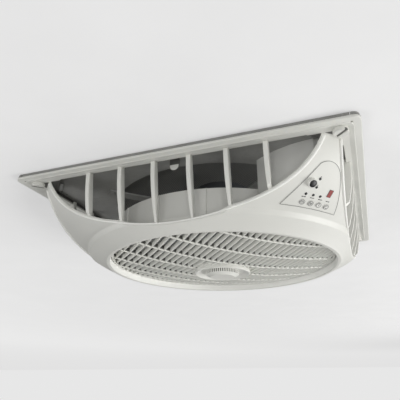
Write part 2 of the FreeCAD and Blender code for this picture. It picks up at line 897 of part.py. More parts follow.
def make_motor_housing():
    """Motor can, open below, with a flange on the bracket and an upper bearing seat."""
    inner = motor_radius - motor_wall
    can = cylinder(motor_radius, motor_bottom, motor_top)
    can = can.cut(cylinder(inner, motor_bottom, motor_top - motor_wall))
    flange = tube(motor_flange_radius, motor_radius - motor_wall / 2, 0, motor_flange_thickness)
    seat = cylinder(bearing_housing_radius, upper_bearing_z, motor_top - motor_wall / 2)
    seat = seat.cut(cylinder(bearing_radius, upper_bearing_z, motor_top - motor_wall))
    housing = fused([can, flange, seat])
    drill = screw_radius + drill_clearance
    top = motor_flange_thickness
    return housing.cut([cylinder(drill, 0, top, *at_angle(motor_screw_radius, angle)) for angle in CORNERS])


def make_motor_screws():
    """Screws through the motor's flange and the bracket's ring."""
    screw = pan_screw(motor_flange_thickness + bracket_thickness)
    top = motor_flange_thickness
    return group([moved(screw, *at_angle(motor_screw_radius, angle), top) for angle in CORNERS])


def make_motor_end_cap():
    """Lower end of the motor with the lower bearing's seat."""
    low = motor_bottom - motor_cap_thickness
    plate = cylinder(motor_radius, low, motor_bottom)
    seat = cylinder(bearing_housing_radius, low, motor_bottom + bearing_width)
    cap = fused([plate, seat])
    bore = cylinder(bearing_radius, motor_bottom, motor_bottom + bearing_width)
    return cap.cut([bore, cylinder(shaft_radius + shaft_clearance, low, motor_bottom)])


def make_bearing(low):
    """Plain ring of the size of a ball bearing."""
    return tube(bearing_radius, shaft_radius + running_fit, low, low + bearing_width)


def make_stator_core():
    """Laminated ring pressed into the motor can."""
    return tube(motor_radius - motor_wall, stator_bore_radius, stator_bottom, stator_top)


def make_rotor_shaft():
    """Motor shaft from the upper bearing down to the blade nut."""
    high = upper_bearing_z + bearing_width - seat_gap
    low = blade_mid_z - hub_web / 2 - blade_nut_height - rotor_overhang
    return cylinder(shaft_radius, low, high)


def make_rotor_core():
    """Rotor drum on the shaft inside the stator."""
    return tube(stator_bore_radius - air_gap, shaft_radius, stator_bottom, stator_top)


def make_blade_hub():
    """Cup on the shaft; its side carries the blades, its web the shaft boss."""
    rim = tube(hub_radius, hub_radius - hub_wall, hub_bottom, hub_top)
    low = blade_mid_z - hub_web / 2
    web = cylinder(hub_radius - hub_wall / 2, low, low + hub_web)
    boss = cylinder(hub_bore_boss_radius, low, hub_top)
    return fused([rim, web, boss]).cut(cylinder(shaft_radius, hub_bottom, hub_top))


def make_blade_nut():
    """Hexagon nut under the hub's web."""
    step = 360 / blade_nut_sides
    points = [at_angle(blade_nut_radius, i * step) for i in range(blade_nut_sides)]
    high = blade_mid_z - hub_web / 2
    nut = prism(points, high - blade_nut_height, high)
    return nut.cut(cylinder(shaft_radius, high - blade_nut_height, high))


def blade_section(radius, chord_length, pitch):
    """Thin slanted rectangle across the blade at a radius."""
    angle = math.radians(pitch)
    along = V(0, math.cos(angle), math.sin(angle)) * (chord_length / 2)
    through = V(0, -math.sin(angle), math.cos(angle)) * (blade_thickness / 2)
    middle = V(radius, 0, blade_mid_z)
    corners = [middle - along - through, middle + along - through]
    corners += [middle + along + through, middle - along + through]
    return Part.makePolygon(corners + corners[:1])


def make_fan_blades():
    """Twisted blades whose roots are cut to the hub's side."""
    root = blade_section(hub_radius - hub_wall, blade_root_chord, blade_root_pitch)
    tip = blade_section(blade_tip_radius + hub_wall, blade_tip_chord, blade_tip_pitch)
    blade = Part.makeLoft([root, tip], True, True)
    reach = blade_root_chord + blade_tip_chord
    band = tube(blade_tip_radius, hub_radius, blade_mid_z - reach, blade_mid_z + reach)
    blade = blade.common(band).Solids[0]
    step = 360 / blade_count
    return group([turned(blade, i * step) for i in range(blade_count)])


def grille_bottom(radius, lift=0.0):
    """Height of the grille's lower face at a radius."""
    return grille_centre_z + grille_sag * (radius / grille_radius) ** 2 + lift


def grille_layer():
    """Domed layer that the fins and bars are cut to."""
    radius = grille_radius - grille_rim_wall / 2
    half = radius / 2
    low = [(r, grille_bottom(r)) for r in (0, half, radius)]
    high = [(r, grille_bottom(r, grille_depth)) for r in (radius, half, 0)]
    edges = [arc(*low), line(low[2], high[0]), arc(*high), line(high[2], low[0])]
    return revolved_edges(edges)


def make_louver_grille():
    """Domed lattice of fins and cross bars with a rim and a hub plate."""
    layer = grille_layer()
    low = grille_centre_z
    high = grille_rim_z + grille_depth
    radius = grille_radius
    fins = []
    count = int(radius / fin_pitch)
    for index in range(-count, count + 1):
        x = (index + 0.5) * fin_pitch
        fins.append(block(x - fin_thickness / 2, x + fin_thickness / 2, -radius, radius, low, high))
    bars = []
    count = int(radius / bar_pitch)
    for index in range(-count, count + 1):
        y = index * bar_pitch
        bars.append(block(-radius, radius, y - bar_thickness / 2, y + bar_thickness / 2, low, high))
    lattice = turned(bars[0].fuse(bars[1:] + fins), lattice_turn)
    lattice = lattice.common(layer)
    well = cylinder(dish_radius + seat_gap, low - grille_depth, hub_plate_bottom)
    lattice = lattice.cut(well)
    rim = tube(radius, radius - grille_rim_wall, grille_rim_z - grille_rim_drop, high)
    plate = cylinder(dish_radius + grille_hub_margin, hub_plate_bottom, hub_plate_top)
    boss = cylinder(grille_boss_radius, hub_plate_bottom, hub_plate_top + grille_boss_height)
    grille = fused([lattice, rim, plate, boss])
    return grille.cut(cylinder(louver_shaft_radius, low, high))


def make_louver_dish():
    """Shallow dish with a rounded lip under the grille's hub plate."""
    lip_inside = dish_radius - dish_lip_width
    high = hub_plate_bottom
    points = [(louver_shaft_radius, high), (dish_radius, high), (dish_radius, dish_bottom)]
    points += [(lip_inside, dish_bottom), (lip_inside, knob_top), (louver_shaft_radius, knob_top)]
    dish = revolved(points)
    lip = [e for e in dish.Edges if abs(e.BoundBox.ZMax - dish_bottom) < 1e-6]
    return dish.makeFillet(dish_round, lip)


def make_louver_knob():
    """Round nut with a fluted rim and a smaller flat face."""
    rim_low = knob_top - knob_rim_height
    points = [(0, knob_top), (knob_radius, knob_top), (knob_radius, rim_low)]
    points += [(knob_face_radius, knob_bottom), (0, knob_bottom)]
    knob = revolved(points)
    step = 360 / knob_flute_count
    flutes = []
    for index in range(knob_flute_count):
        x, y = at_angle(knob_radius, index * step)
        flutes.append(cylinder(knob_flute_radius, rim_low, knob_top, x, y))
    shaft_end = knob_bottom + dish_floor
    return knob.cut(flutes + [cylinder(louver_shaft_radius, shaft_end, knob_top)])


def make_louver_shaft():
    """Shaft from the gear motor down through the grille into the knob."""
    high = louver_motor_bottom + louver_shaft_engagement
    return cylinder(louver_shaft_radius, knob_bottom + dish_floor, high)


def box_plan(inset, low):
    """Plan of the electronics corner at a height: a bowed near wall and a straight right one."""
    side = box_side_x + inset
    shoulder = box_shoulder - inset
    near = box_near - inset
    right = box_right - inset
    back = lid_diagonal * ROOT2
    flat = (post_diagonal - post_radius - box_post_gap) * ROOT2
    start = V(side, -shoulder, low)
    end = V(flat - box_near, -near, low)
    chord_length = start.distanceToPoint(end)
    outward = V(end.y - start.y, start.x - end.x, 0) * (box_bow / chord_length)
    wall = Part.Arc(start, (start + end) * 0.5 + outward, end).toShape()
    points = [(flat - box_near, -near), (right, box_right - flat), (right, -side - box_chamfer)]
    points += [(right - box_chamfer, -side), (back - side, -side), (side, side - back), (side, -shoulder)]
    rest = Part.makePolygon([V(x, y, low) for x, y in points])
    return Part.Face(Part.Wire([wall] + rest.Edges))


def make_electronics_box():
    """Upright walls round the control corner, from the deck down to the leg."""
    inside = cowl_fill(-cowl_wall - box_cowl_gap)
    low = step_z + box_foot_gap
    rise = V(0, 0, -low)
    outer = box_plan(0.0, low).extrude(rise)
    inner = box_plan(box_wall, low).extrude(rise)
    return outer.cut(inner).common(inside)


def on_corner(shape):
    """Copy of a shape moved from along +X to the control corner's diagonal."""
    return turned(shape, CONTROL_CORNER)


def lid_half_width():
    """Half width of the lid between the box's two side walls."""
    back = lid_diagonal * ROOT2
    return (back / 2 - box_side_x) * ROOT2 - box_wall * ROOT2


def make_electronics_lid():
    """Plate across the back of the corner with posts for the main board."""
    half = lid_half_width()
    top = -bracket_thickness - seat_gap
    plate = block(lid_diagonal, lid_diagonal + lid_thickness, -half, half, -lid_drop, top)
    posts = []
    for y, z in board_hole_places():
        start = V(lid_diagonal + lid_thickness / 2, y, z)
        length = board_standoff + lid_thickness / 2
        posts.append(Part.makeCylinder(standoff_radius, length, start, V(1, 0, 0)))
    return on_corner(fused([plate] + posts))


def board_hole_places():
    """Across and height of the main board's fixing points."""
    half = board_width / 2 - standoff_inset
    high = -board_top_drop - standoff_inset
    low = -board_top_drop - board_height + standoff_inset
    return [(y, z) for y in (-half, half) for z in (low, high)]


def make_control_board():
    """Main circuit board in front of the lid."""
    half = board_width / 2
    start = board_diagonal
    low = -board_top_drop - board_height
    return on_corner(block(start, start + board_thickness, -half, half, low, -board_top_drop))


def make_run_capacitor():
    """Round capacitor lying on the main board."""
    x = board_diagonal + board_thickness + capacitor_radius
    start = V(x, -capacitor_length / 2, -capacitor_drop)
    return on_corner(Part.makeCylinder(capacitor_radius, capacitor_length, start, V(0, 1, 0)))


def make_terminal_block():
    """Screw terminals at the top of the main board."""
    start = board_diagonal + board_thickness
    half = terminal_width / 2
    high = -terminal_drop
    body = block(start, start + terminal_depth, -half, half, high - terminal_height, high)
    return on_corner(body)


def make_cable_gland():
    """Gland in the deck for the supply lead, with its nut below."""
    x, y = at_angle(gland_diagonal, CONTROL_CORNER)
    high = deck_thickness + gland_flange_height
    pieces = [cylinder(gland_flange_radius, deck_thickness, high, x, y)]
    pieces.append(cylinder(gland_dome_radius, high, high + gland_dome_height, x, y))
    pieces.append(cylinder(gland_thread_radius, -gland_thread_length, deck_thickness, x, y))
    pieces.append(cylinder(gland_flange_radius, -gland_nut_height, 0, x, y))
    bore = cylinder(gland_bore_radius, -gland_thread_length, high + gland_dome_height, x, y)
    return fused(pieces).cut(bore)


def panel_prism(margin):
    """Outline of the control panel seen along the diagonal, run through the leg."""
    reach = leg_top_radius + margin

    def point(offset, z):
        return V(0, offset, z)

    left = point(panel_left, panel_bottom_z)
    left_top = point(panel_shoulder_left, panel_shoulder_left_z)
    crown = point(panel_crown, panel_crown_z)
    right_top = point(panel_shoulder_right, panel_shoulder_right_z)
    right = point(panel_right, panel_bottom_z)
    edges = [Part.LineSegment(left, left_top).toShape(), Part.Arc(left_top, crown, right_top).toShape()]
    edges += [Part.LineSegment(right_top, right).toShape(), Part.LineSegment(right, left).toShape()]
    return on_corner(Part.Face(Part.Wire(edges)).extrude(V(reach, 0, 0)))


def bowl_skin(thickness):
    """Thin layer on the bowl's outer face."""
    low, high = step_z, flange_bottom
    middle_z = (low + high) / 2
    inner = [(bowl_r(z), z) for z in (low, middle_z, high)]
    outer = [(bowl_r(z, thickness), z) for z in (high, middle_z, low)]
    edges = [arc(*inner), line(inner[2], outer[0]), arc(*outer), line(outer[2], inner[0])]
    return revolved_edges(edges)


def make_control_overlay():
    """Thin skin of the control panel on the leg, pierced for its parts."""
    skin = bowl_skin(panel_skin).common(panel_prism(cowl_wall))
    return skin.cut(control_cutters()).Solids[0]


def make_button(place):
    """Round button through the leg, with a tail towards its switch."""
    high = panel_skin + button_proud
    cap = cylinder(button_radius, -button_tail, high)
    rim = [e for e in cap.Edges if abs(e.BoundBox.ZMin - high) < 1e-6]
    return on_leg(cap.makeFillet(button_proud / 2, rim), *place)


def make_indicator_lenses():
    """Small round lenses through the leg."""
    lens = cylinder(lens_radius, -lens_depth, panel_skin + lens_proud)
    return group([on_leg(lens, *place) for place in lens_places()])


def make_display_window():
    """Small window of the display."""
    half_width, half_height = window_width / 2, window_height / 2
    pane = block(-half_width, half_width, -half_height, half_height, -window_depth, panel_skin + lens_proud)
    return on_leg(pane, window_offset, window_z)


def make_sensor_nub():
    """Short tube on the panel that holds the receiver's lens."""
    body = cylinder(sensor_radius, -sensor_root, sensor_proud)
    body = body.cut(cylinder(sensor_lens_radius, sensor_proud - sensor_lens_depth, sensor_proud))
    return on_leg(body, sensor_offset, sensor_z)


def make_sensor_lens():
    """Dark disc in the end of the nub."""
    lens = cylinder(sensor_lens_radius, sensor_proud - sensor_lens_depth, sensor_proud)
    return on_leg(lens, sensor_offset, sensor_z)


def make_button_board():
    """Small board behind the leg with a switch under each button."""
    half_width, half_height = button_board_width / 2, button_board_height / 2
    low = -button_board_depth - board_thickness
    board = block(-half_width, half_width, -half_height, half_height, low, -button_board_depth)
    row = bowl_radius * math.asin((button_z - button_board_z) / bowl_radius)
    switches = []
    for offset, z in button_places():
        x = offset - button_board_offset
        half = switch_side / 2
        high = -button_board_depth + switch_height
        switches.append(block(x - half, x + half, row - half, row + half, low, high))
    return on_leg(fused([board] + switches), button_board_offset, button_board_z)


def make_tether_tab():
    """Round-ended tab under the deck at the middle of the near side."""
    front = tab_inset - opening_half
    radius = tab_width / 2
    straight = tab_length - radius
    plate = block(-radius, radius, front, front + tab_thickness, -straight, 0)
    end = Part.makeCylinder(radius, tab_thickness, V(0, front, -straight), V(0, 1, 0))
    return fused([plate, end])


def main():
    """Write every node."""
    os.makedirs("parts", exist_ok=True)
    save("ceiling_frame", make_ceiling_frame())
    save("ceiling_gasket", make_ceiling_gasket())
    for index, angle in enumerate(CORNERS):
        save("corner_screw_" + str(index + 1), make_corner_screw(angle))
    save("deck_plate", make_deck_plate())
    save("dome_cover", make_dome_cover())
    save("dome_screws", make_dome_screws())
    save("hanger_brackets", make_hanger_brackets())
    save("hanger_rivets", make_hanger_rivets())
    save("cowl", make_cowl())
    save("cowl_screws", make_cowl_screws())
    save("intake_ribs", make_intake_ribs())
    save("duct_ring", make_duct_ring())
    save("grille_spider", make_grille_spider())
    save("spider_screws", make_spider_screws())
    save("louver_motor", make_louver_motor())
    save("motor_bracket", make_motor_bracket())
    save("motor_housing", make_motor_housing())
    save("motor_screws", make_motor_screws())
    save("motor_end_cap", make_motor_end_cap())
    save("upper_bearing", make_bearing(upper_bearing_z))
    save("lower_bearing", make_bearing(motor_bottom))
    save("stator_core", make_stator_core())
    save("rotor_shaft", make_rotor_shaft())
    save("rotor_core", make_rotor_core())
    save("blade_hub", make_blade_hub())
    save("blade_nut", make_blade_nut())
    save("fan_blades", make_fan_blades())
    save("louver_grille", make_louver_grille())
    save("louver_dish", make_louver_dish())
    save("louver_knob", make_louver_knob())
    save("louver_shaft", make_louver_shaft())
    save("electronics_box", make_electronics_box())
    save("electronics_lid", make_electronics_lid())
    save("control_board", make_control_board())
    save("run_capacitor", make_run_capacitor())
    save("terminal_block", make_terminal_block())
    save("cable_gland", make_cable_gland())
    save("control_overlay", make_control_overlay())
    for index, place in enumerate(button_places()):
        save("button_" + str(index + 1), make_button(place))
    save("indicator_lenses", make_indicator_lenses())
    save("display_window", make_display_window())
    save("sensor_nub", make_sensor_nub())
    save("sensor_lens", make_sensor_lens())
    save("button_board", make_button_board())
    save("tether_tab", make_tether_tab())


main()
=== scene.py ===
"""Looks of a square drop-ceiling fan with a turning louvre grille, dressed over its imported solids.

Sizes are in millimetres in the classes and become metres in the meshes. The ceiling is the
plane z = 0, the cowl hangs below it, and the control leg is the corner at +X, -Y.
"""

import logging
import math
from contextlib import contextmanager
from dataclasses import dataclass
from enum import Enum
from functools import cache
from typing import Dict, Iterator, List, Sequence, Tuple

import bmesh
import bpy
from mathutils import Matrix, Vector


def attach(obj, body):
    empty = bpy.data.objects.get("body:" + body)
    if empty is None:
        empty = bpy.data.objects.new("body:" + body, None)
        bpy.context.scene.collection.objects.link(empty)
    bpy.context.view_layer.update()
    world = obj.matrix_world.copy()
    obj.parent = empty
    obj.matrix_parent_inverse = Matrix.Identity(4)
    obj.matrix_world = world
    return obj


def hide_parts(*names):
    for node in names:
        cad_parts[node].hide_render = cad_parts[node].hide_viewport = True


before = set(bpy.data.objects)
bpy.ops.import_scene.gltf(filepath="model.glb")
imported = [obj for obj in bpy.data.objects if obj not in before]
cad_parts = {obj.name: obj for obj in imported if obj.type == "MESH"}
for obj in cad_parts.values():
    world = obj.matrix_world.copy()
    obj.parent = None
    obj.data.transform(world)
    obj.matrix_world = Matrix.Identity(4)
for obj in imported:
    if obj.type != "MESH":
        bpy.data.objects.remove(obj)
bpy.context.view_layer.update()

LOG = logging.getLogger("ceiling_fan")
MM = 0.001
QUARTER = math.pi / 2.0
UP = Vector((0.0, 0.0, 1.0))
HOUSING, ROTOR, LOUVER = "housing", "fan_rotor", "louver"

Colour = Tuple[float, float, float]
Point2 = Tuple[float, float]
Point3 = Tuple[float, float, float]
Faces = List[Tuple[int, ...]]
Stroke = List[Tuple[Vector, Vector]]
Mesh, Node, Socket, Tree = bpy.types.Mesh, bpy.types.Node, bpy.types.NodeSocket, bpy.types.NodeTree
NUMBERS = {int: "NodeSocketInt", float: "NodeSocketFloat"}
SQUARE = ((1, 1), (-1, 1), (-1, -1), (1, -1))
WHITE = (1.0, 1.0, 1.0, 1.0)
ROUGH_SWING, ROUGH_LEAST = 0.06, 0.04
DUST_ROUGH, COAT_ROUGH = 0.9, 0.12
BUMP_STRENGTH = 0.6
RUB_FACTOR, RUB_LIFT = 1.6, 0.03
# The first colour is dust; the other three are painted shade: between the grille's slats, inside the frame's opening
# and in the corner screws' slots.
DUST_TINT, DEPTH_SHADE_TINT, INSIDE_SHADE_TINT, SLOT_SHADE_TINT = (176, 172, 162), (58, 58, 56), (70, 70, 68), (52, 52, 50)
ROUND_STEPS, FLAT_WEIGHT = 2, 60
SOLID_MERGE, SOLID_FLAT = 2e-6, 0.4


def tint(red: int, green: int, blue: int) -> Colour:
    """Linear colour of a display colour of 0 to 255."""
    shares = (red / 255.0, green / 255.0, blue / 255.0)
    return tuple(s / 12.92 if s <= 0.04045 else ((s + 0.055) / 1.055) ** 2.4 for s in shares)


def opaque(colour: Colour) -> Tuple[float, ...]:
    """The colour with full cover."""
    return tuple(colour) + (1.0,)


def between(first: Sequence[float], second: Sequence[float], share: float) -> Tuple[float, ...]:
    """Point at a share of the way from one point to another."""
    return tuple(a + (b - a) * share for a, b in zip(first, second))


def span(low: float, high: float, count: int) -> List[float]:
    """Values at equal steps from low to high, both of them included."""
    return [low + (high - low) * step / count for step in range(count + 1)]


class Pen:
    """Adds nodes to a tree and wires them."""

    def __init__(self, tree: Tree) -> None:
        """Keep the tree that is drawn in."""
        self.tree = tree

    @classmethod
    def blank(cls, data: bpy.types.ID) -> "Pen":
        """Pen for the emptied tree of a material or a world.

        Args:
            data: Material or world.

        Returns:
            The pen.
        """
        data.use_nodes = True
        data.node_tree.nodes.clear()
        return cls(data.node_tree)

    def feed(self, target: Socket, value: object) -> None:
        """Wire a socket into an input, or set the input's own value.

        Args:
            target: The input.
            value: Socket or plain value.
        """
        if isinstance(value, Socket):
            self.tree.links.new(value, target)
        else:
            target.default_value = value

    def node(self, kind: str, values: Dict[object, object] | None = None, **settings: object) -> Node:
        """Add a node.

        Args:
            kind: Blender's name of the node type.
            values: Input values or source sockets by input name or number.
            settings: Properties of the node.

        Returns:
            The new node.
        """
        made = self.tree.nodes.new(kind)
        for name, setting in settings.items():
            setattr(made, name, setting)
        for key, value in (values or {}).items():
            self.feed(made.inputs[key], value)
        return made

    def out(self, kind: str, values: Dict[object, object] | None = None, **settings: object) -> Socket:
        """Add a node and return its first output."""
        return self.node(kind, values, **settings).outputs[0]

    def math(self, operation: str, first: object, second: object = 0.0) -> Socket:
        """Result of one operation on two values or sockets."""
        return self.out("ShaderNodeMath", {0: first, 1: second}, operation=operation)

    def plus(self, first: object, second: object) -> Socket:
        """Sum of two values."""
        return self.math("ADD", first, second)

    def minus(self, first: object, second: object) -> Socket:
        """Difference of two values."""
        return self.math("SUBTRACT", first, second)

    def times(self, first: object, second: object) -> Socket:
        """Product of two values."""
        return self.math("MULTIPLY", first, second)

    def size(self, value: object) -> Socket:
        """A value without its sign."""
        return self.math("ABSOLUTE", value)

    def squares(self, first: object, second: object) -> Socket:
        """Sum of two squares."""
        return self.plus(self.times(first, first), self.times(second, second))

    def root(self, value: object) -> Socket:
        """Square root, 0 for what is below 0."""
        return self.math("SQRT", self.math("MAXIMUM", value, 0.0))

    def dome(self, x: Socket, y: Socket, reach: Socket, sag: Socket) -> Socket:
        """Rise of a shallow dome from its middle to a place."""
        return self.times(self.math("DIVIDE", self.squares(x, y), self.times(reach, reach)), sag)

    def mix(self, share: object, first: object, second: object) -> Socket:
        """Mix of two colours by a share."""
        return self.node("ShaderNodeMix", {0: share, 6: first, 7: second}, data_type="RGBA").outputs[2]

    def ramp(self, value: object, low: object, high: object, start: object = 0.0, end: object = 1.0) -> Socket:
        """Map a value from one range to another, held at both ends."""
        return self.out("ShaderNodeMapRange", dict(enumerate((value, low, high, start, end))), clamp=True)

    def join(self, x: object = 0.0, y: object = 0.0, z: object = 0.0) -> Socket:
        """Vector of three values."""
        return self.out("ShaderNodeCombineXYZ", {0: x, 1: y, 2: z})

    def split(self, vector: Socket) -> Sequence[Socket]:
        """The three values of a vector."""
        return self.node("ShaderNodeSeparateXYZ", {0: vector}).outputs

    def spot(self) -> Socket:
        """Place on the object."""
        return self.node("ShaderNodeTexCoord").outputs["Object"]

    def geometry(self, label: str) -> Socket:
        """One output of the shaded point's geometry."""
        return self.node("ShaderNodeNewGeometry").outputs[label]

    def noise(self, place: Socket, scale: object, detail: float) -> Socket:
        """Soft noise."""
        return self.out("ShaderNodeTexNoise", {"Vector": place, "Scale": scale, "Detail": detail})

    def group(self, tree: Tree, values: Dict[object, object] | None = None) -> Sequence[Socket]:
        """Outputs of a group's node with some inputs set."""
        return self.node("ShaderNodeGroup", values, node_tree=tree).outputs


class GroupPen(Pen):
    """Pen for a node group, with the sockets that the group is given."""

    def __init__(self, kind: str, name: str, inputs: Dict[str, object], outputs: Sequence[str]) -> None:
        """Begin the group.

        Args:
            kind: Blender's name of the tree type.
            name: Name of the group.
            inputs: Default number, or name of a socket type, by input name.
            outputs: Output names; Geometry carries a shape and any other a number.
        """
        super().__init__(bpy.data.node_groups.new(name, kind))
        face = self.tree.interface
        for label, value in inputs.items():
            named = isinstance(value, str)
            carried = value if named else NUMBERS[type(value)]
            socket = face.new_socket(name=label, in_out="INPUT", socket_type=carried)
            if not named:
                socket.default_value = value
        for label in outputs:
            carried = "NodeSocketGeometry" if label == "Geometry" else NUMBERS[float]
            face.new_socket(name=label, in_out="OUTPUT", socket_type=carried)
        self.given = self.node("NodeGroupInput").outputs
        self.end = self.node("NodeGroupOutput").inputs

    def close(self, **results: Socket) -> Tree:
        """Wire the results to the outputs of the same names.

        Args:
            results: Socket by output name.

        Returns:
            The group.
        """
        for label, socket in results.items():
            self.feed(self.end[label], socket)
        return self.tree


class Effects:
    """Shader node groups that several finishes share."""

    @staticmethod
    def pattern(name: str, inputs: Dict[str, float]) -> GroupPen:
        """Begin a group that gives the height and tone of a surface."""
        return GroupPen("ShaderNodeTree", name, inputs, ("Height", "Drift"))

    @staticmethod
    def cover(name: str, inputs: Dict[str, float]) -> GroupPen:
        """Begin a group that gives the mask of a layer."""
        return GroupPen("ShaderNodeTree", name, inputs, ("Mask",))

    @staticmethod
    @cache
    def grain() -> Tree:
        """Fine moulded grain and a slow drift of tone.

        Returns:
            The group.
        """
        pen = Effects.pattern("mould_grain", {"Grain Scale": 900.0, "Drift Scale": 7.0})
        place = pen.spot()
        slow = pen.noise(place, pen.given[1], 4.0)
        return pen.close(Height=pen.noise(place, pen.given[0], 2.0), Drift=pen.ramp(slow, 0.32, 0.68))

    @staticmethod
    @cache
    def rolled() -> Tree:
        """Long fine lines that rolling leaves in sheet.

        Returns:
            The group.
        """
        pen = Effects.pattern("rolled_lines", {"Line Scale": 700.0, "Length Scale": 12.0})
        place = pen.spot()
        fine, long = pen.given[0], pen.given[1]
        drawn = pen.out("ShaderNodeMapping", {"Vector": place, "Scale": pen.join(long, fine, fine)})
        lines, slow = pen.noise(drawn, 1.0, 3.0), pen.noise(place, 9.0, 3.0)
        both = pen.plus(pen.times(lines, 0.5), pen.times(slow, 0.5))
        return pen.close(Height=lines, Drift=pen.ramp(both, 0.35, 0.65))

    @staticmethod
    @cache
    def holes() -> Tree:
        """Rows of small round dimples, as in a pressed mesh.

        Returns:
            The group.
        """
        pen = Effects.pattern("pressed_mesh", {"Row Scale": 210.0})
        turned = pen.out("ShaderNodeMapping", {"Vector": pen.spot(), "Rotation": (0.0, 0.0, math.radians(45))})
        cells = pen.node("ShaderNodeTexVoronoi", {"Vector": turned, "Scale": pen.given[0], "Randomness": 0.0},
                         voronoi_dimensions="2D")
        web = pen.ramp(cells.outputs["Distance"], 0.26, 0.38)
        return pen.close(Height=web, Drift=web)

    @staticmethod
    @cache
    def cells() -> Tree:
        """Open cells of foam rubber.

        Returns:
            The group.
        """
        pen = Effects.pattern("foam_cells", {"Cell Scale": 650.0})
        place = pen.spot()
        wall = pen.node("ShaderNodeTexVoronoi", {"Vector": place, "Scale": pen.given[0]}).outputs["Distance"]
        both = pen.times(pen.ramp(wall, 0.0, 0.5, 1.0, 0.4), pen.noise(place, 45.0, 4.0))
        return pen.close(Height=wall, Drift=pen.ramp(both, 0.15, 0.6))

    @staticmethod
    @cache
    def dust() -> Tree:
        """Dust that settles on faces that look up.

        Returns:
            The group.
        """
        pen = Effects.cover("settled_dust", {"Patch Scale": 30.0})
        patch = pen.ramp(pen.noise(pen.spot(), pen.given[0], 5.0), 0.3, 0.75, 0.35, 1.0)
        return pen.close(Mask=pen.times(pen.ramp(pen.split(pen.geometry("Normal"))[2], 0.25, 0.95), patch))

    @staticmethod
    @cache
    def rub() -> Tree:
        """Rubbed edges, broken up by a patchy noise.

        Returns:
            The group.
        """
        pen = Effects.cover("edge_rub", {"Patch Scale": 120.0})
        patch = pen.ramp(pen.noise(pen.spot(), pen.given[0], 3.0), 0.4, 0.62)
        return pen.close(Mask=pen.times(pen.ramp(pen.geometry("Pointiness"), 0.52, 0.6), patch))

    @staticmethod
    @cache
    def slot() -> Tree:
        """Painted shade in a slot that lies along the diagonals.

        Returns:
            The group.
        """
        pen = Effects.cover("slot_painted_shade", {"Half Width": 0.0025, "Margin": 0.00008, "Mouth Height": -0.0157,
                                           "Fade": 0.0012, "Floor Height": -0.012})
        x, y, z = pen.split(pen.spot())
        off = pen.times(pen.size(pen.minus(pen.size(x), pen.size(y))), math.sqrt(0.5))
        mouth = pen.given["Mouth Height"]
        near = pen.math("LESS_THAN", off, pen.plus(pen.given["Half Width"], pen.given["Margin"]))
        above = pen.ramp(z, mouth, pen.plus(mouth, pen.given["Fade"]))
        below = pen.math("LESS_THAN", z, pen.given["Floor Height"])
        return pen.close(Mask=pen.times(near, pen.times(above, below)))

    @staticmethod
    @cache
    def depth() -> Tree:
        """Painted shade that deepens with height above a domed lower edge, standing in for the shade between slats.

        Returns:
            The group.
        """
        pen = Effects.cover("depth_painted_shade", {"Edge Height": -0.136, "Sag": 0.022, "Reach": 0.2265, "Shade Start": 0.0012,
                                           "Shade Full": 0.008})
        x, y, z = pen.split(pen.spot())
        edge = pen.plus(pen.given["Edge Height"], pen.dome(x, y, pen.given["Reach"], pen.given["Sag"]))
        return pen.close(Mask=pen.ramp(pen.minus(z, edge), pen.given["Shade Start"], pen.given["Shade Full"]))

    @staticmethod
    @cache
    def inside() -> Tree:
        """Painted shade inside a square column or above a height.

        Returns:
            The group.
        """
        pen = Effects.cover("inside_painted_shade", {"Half Side": 0.267, "Height": -0.006})
        x, y, z = pen.split(pen.spot())
        within = pen.math("LESS_THAN", pen.math("MAXIMUM", pen.size(x), pen.size(y)), pen.given["Half Side"])
        return pen.close(Mask=pen.math("MAXIMUM", within, pen.math("GREATER_THAN", z, pen.given["Height"])))


class Surface(Enum):
    """Kinds of surface by the names of their patterns."""

    MOULDED = "grain"
    SHEET = "rolled"
    FOAM = "cells"
    PIERCED = "holes"


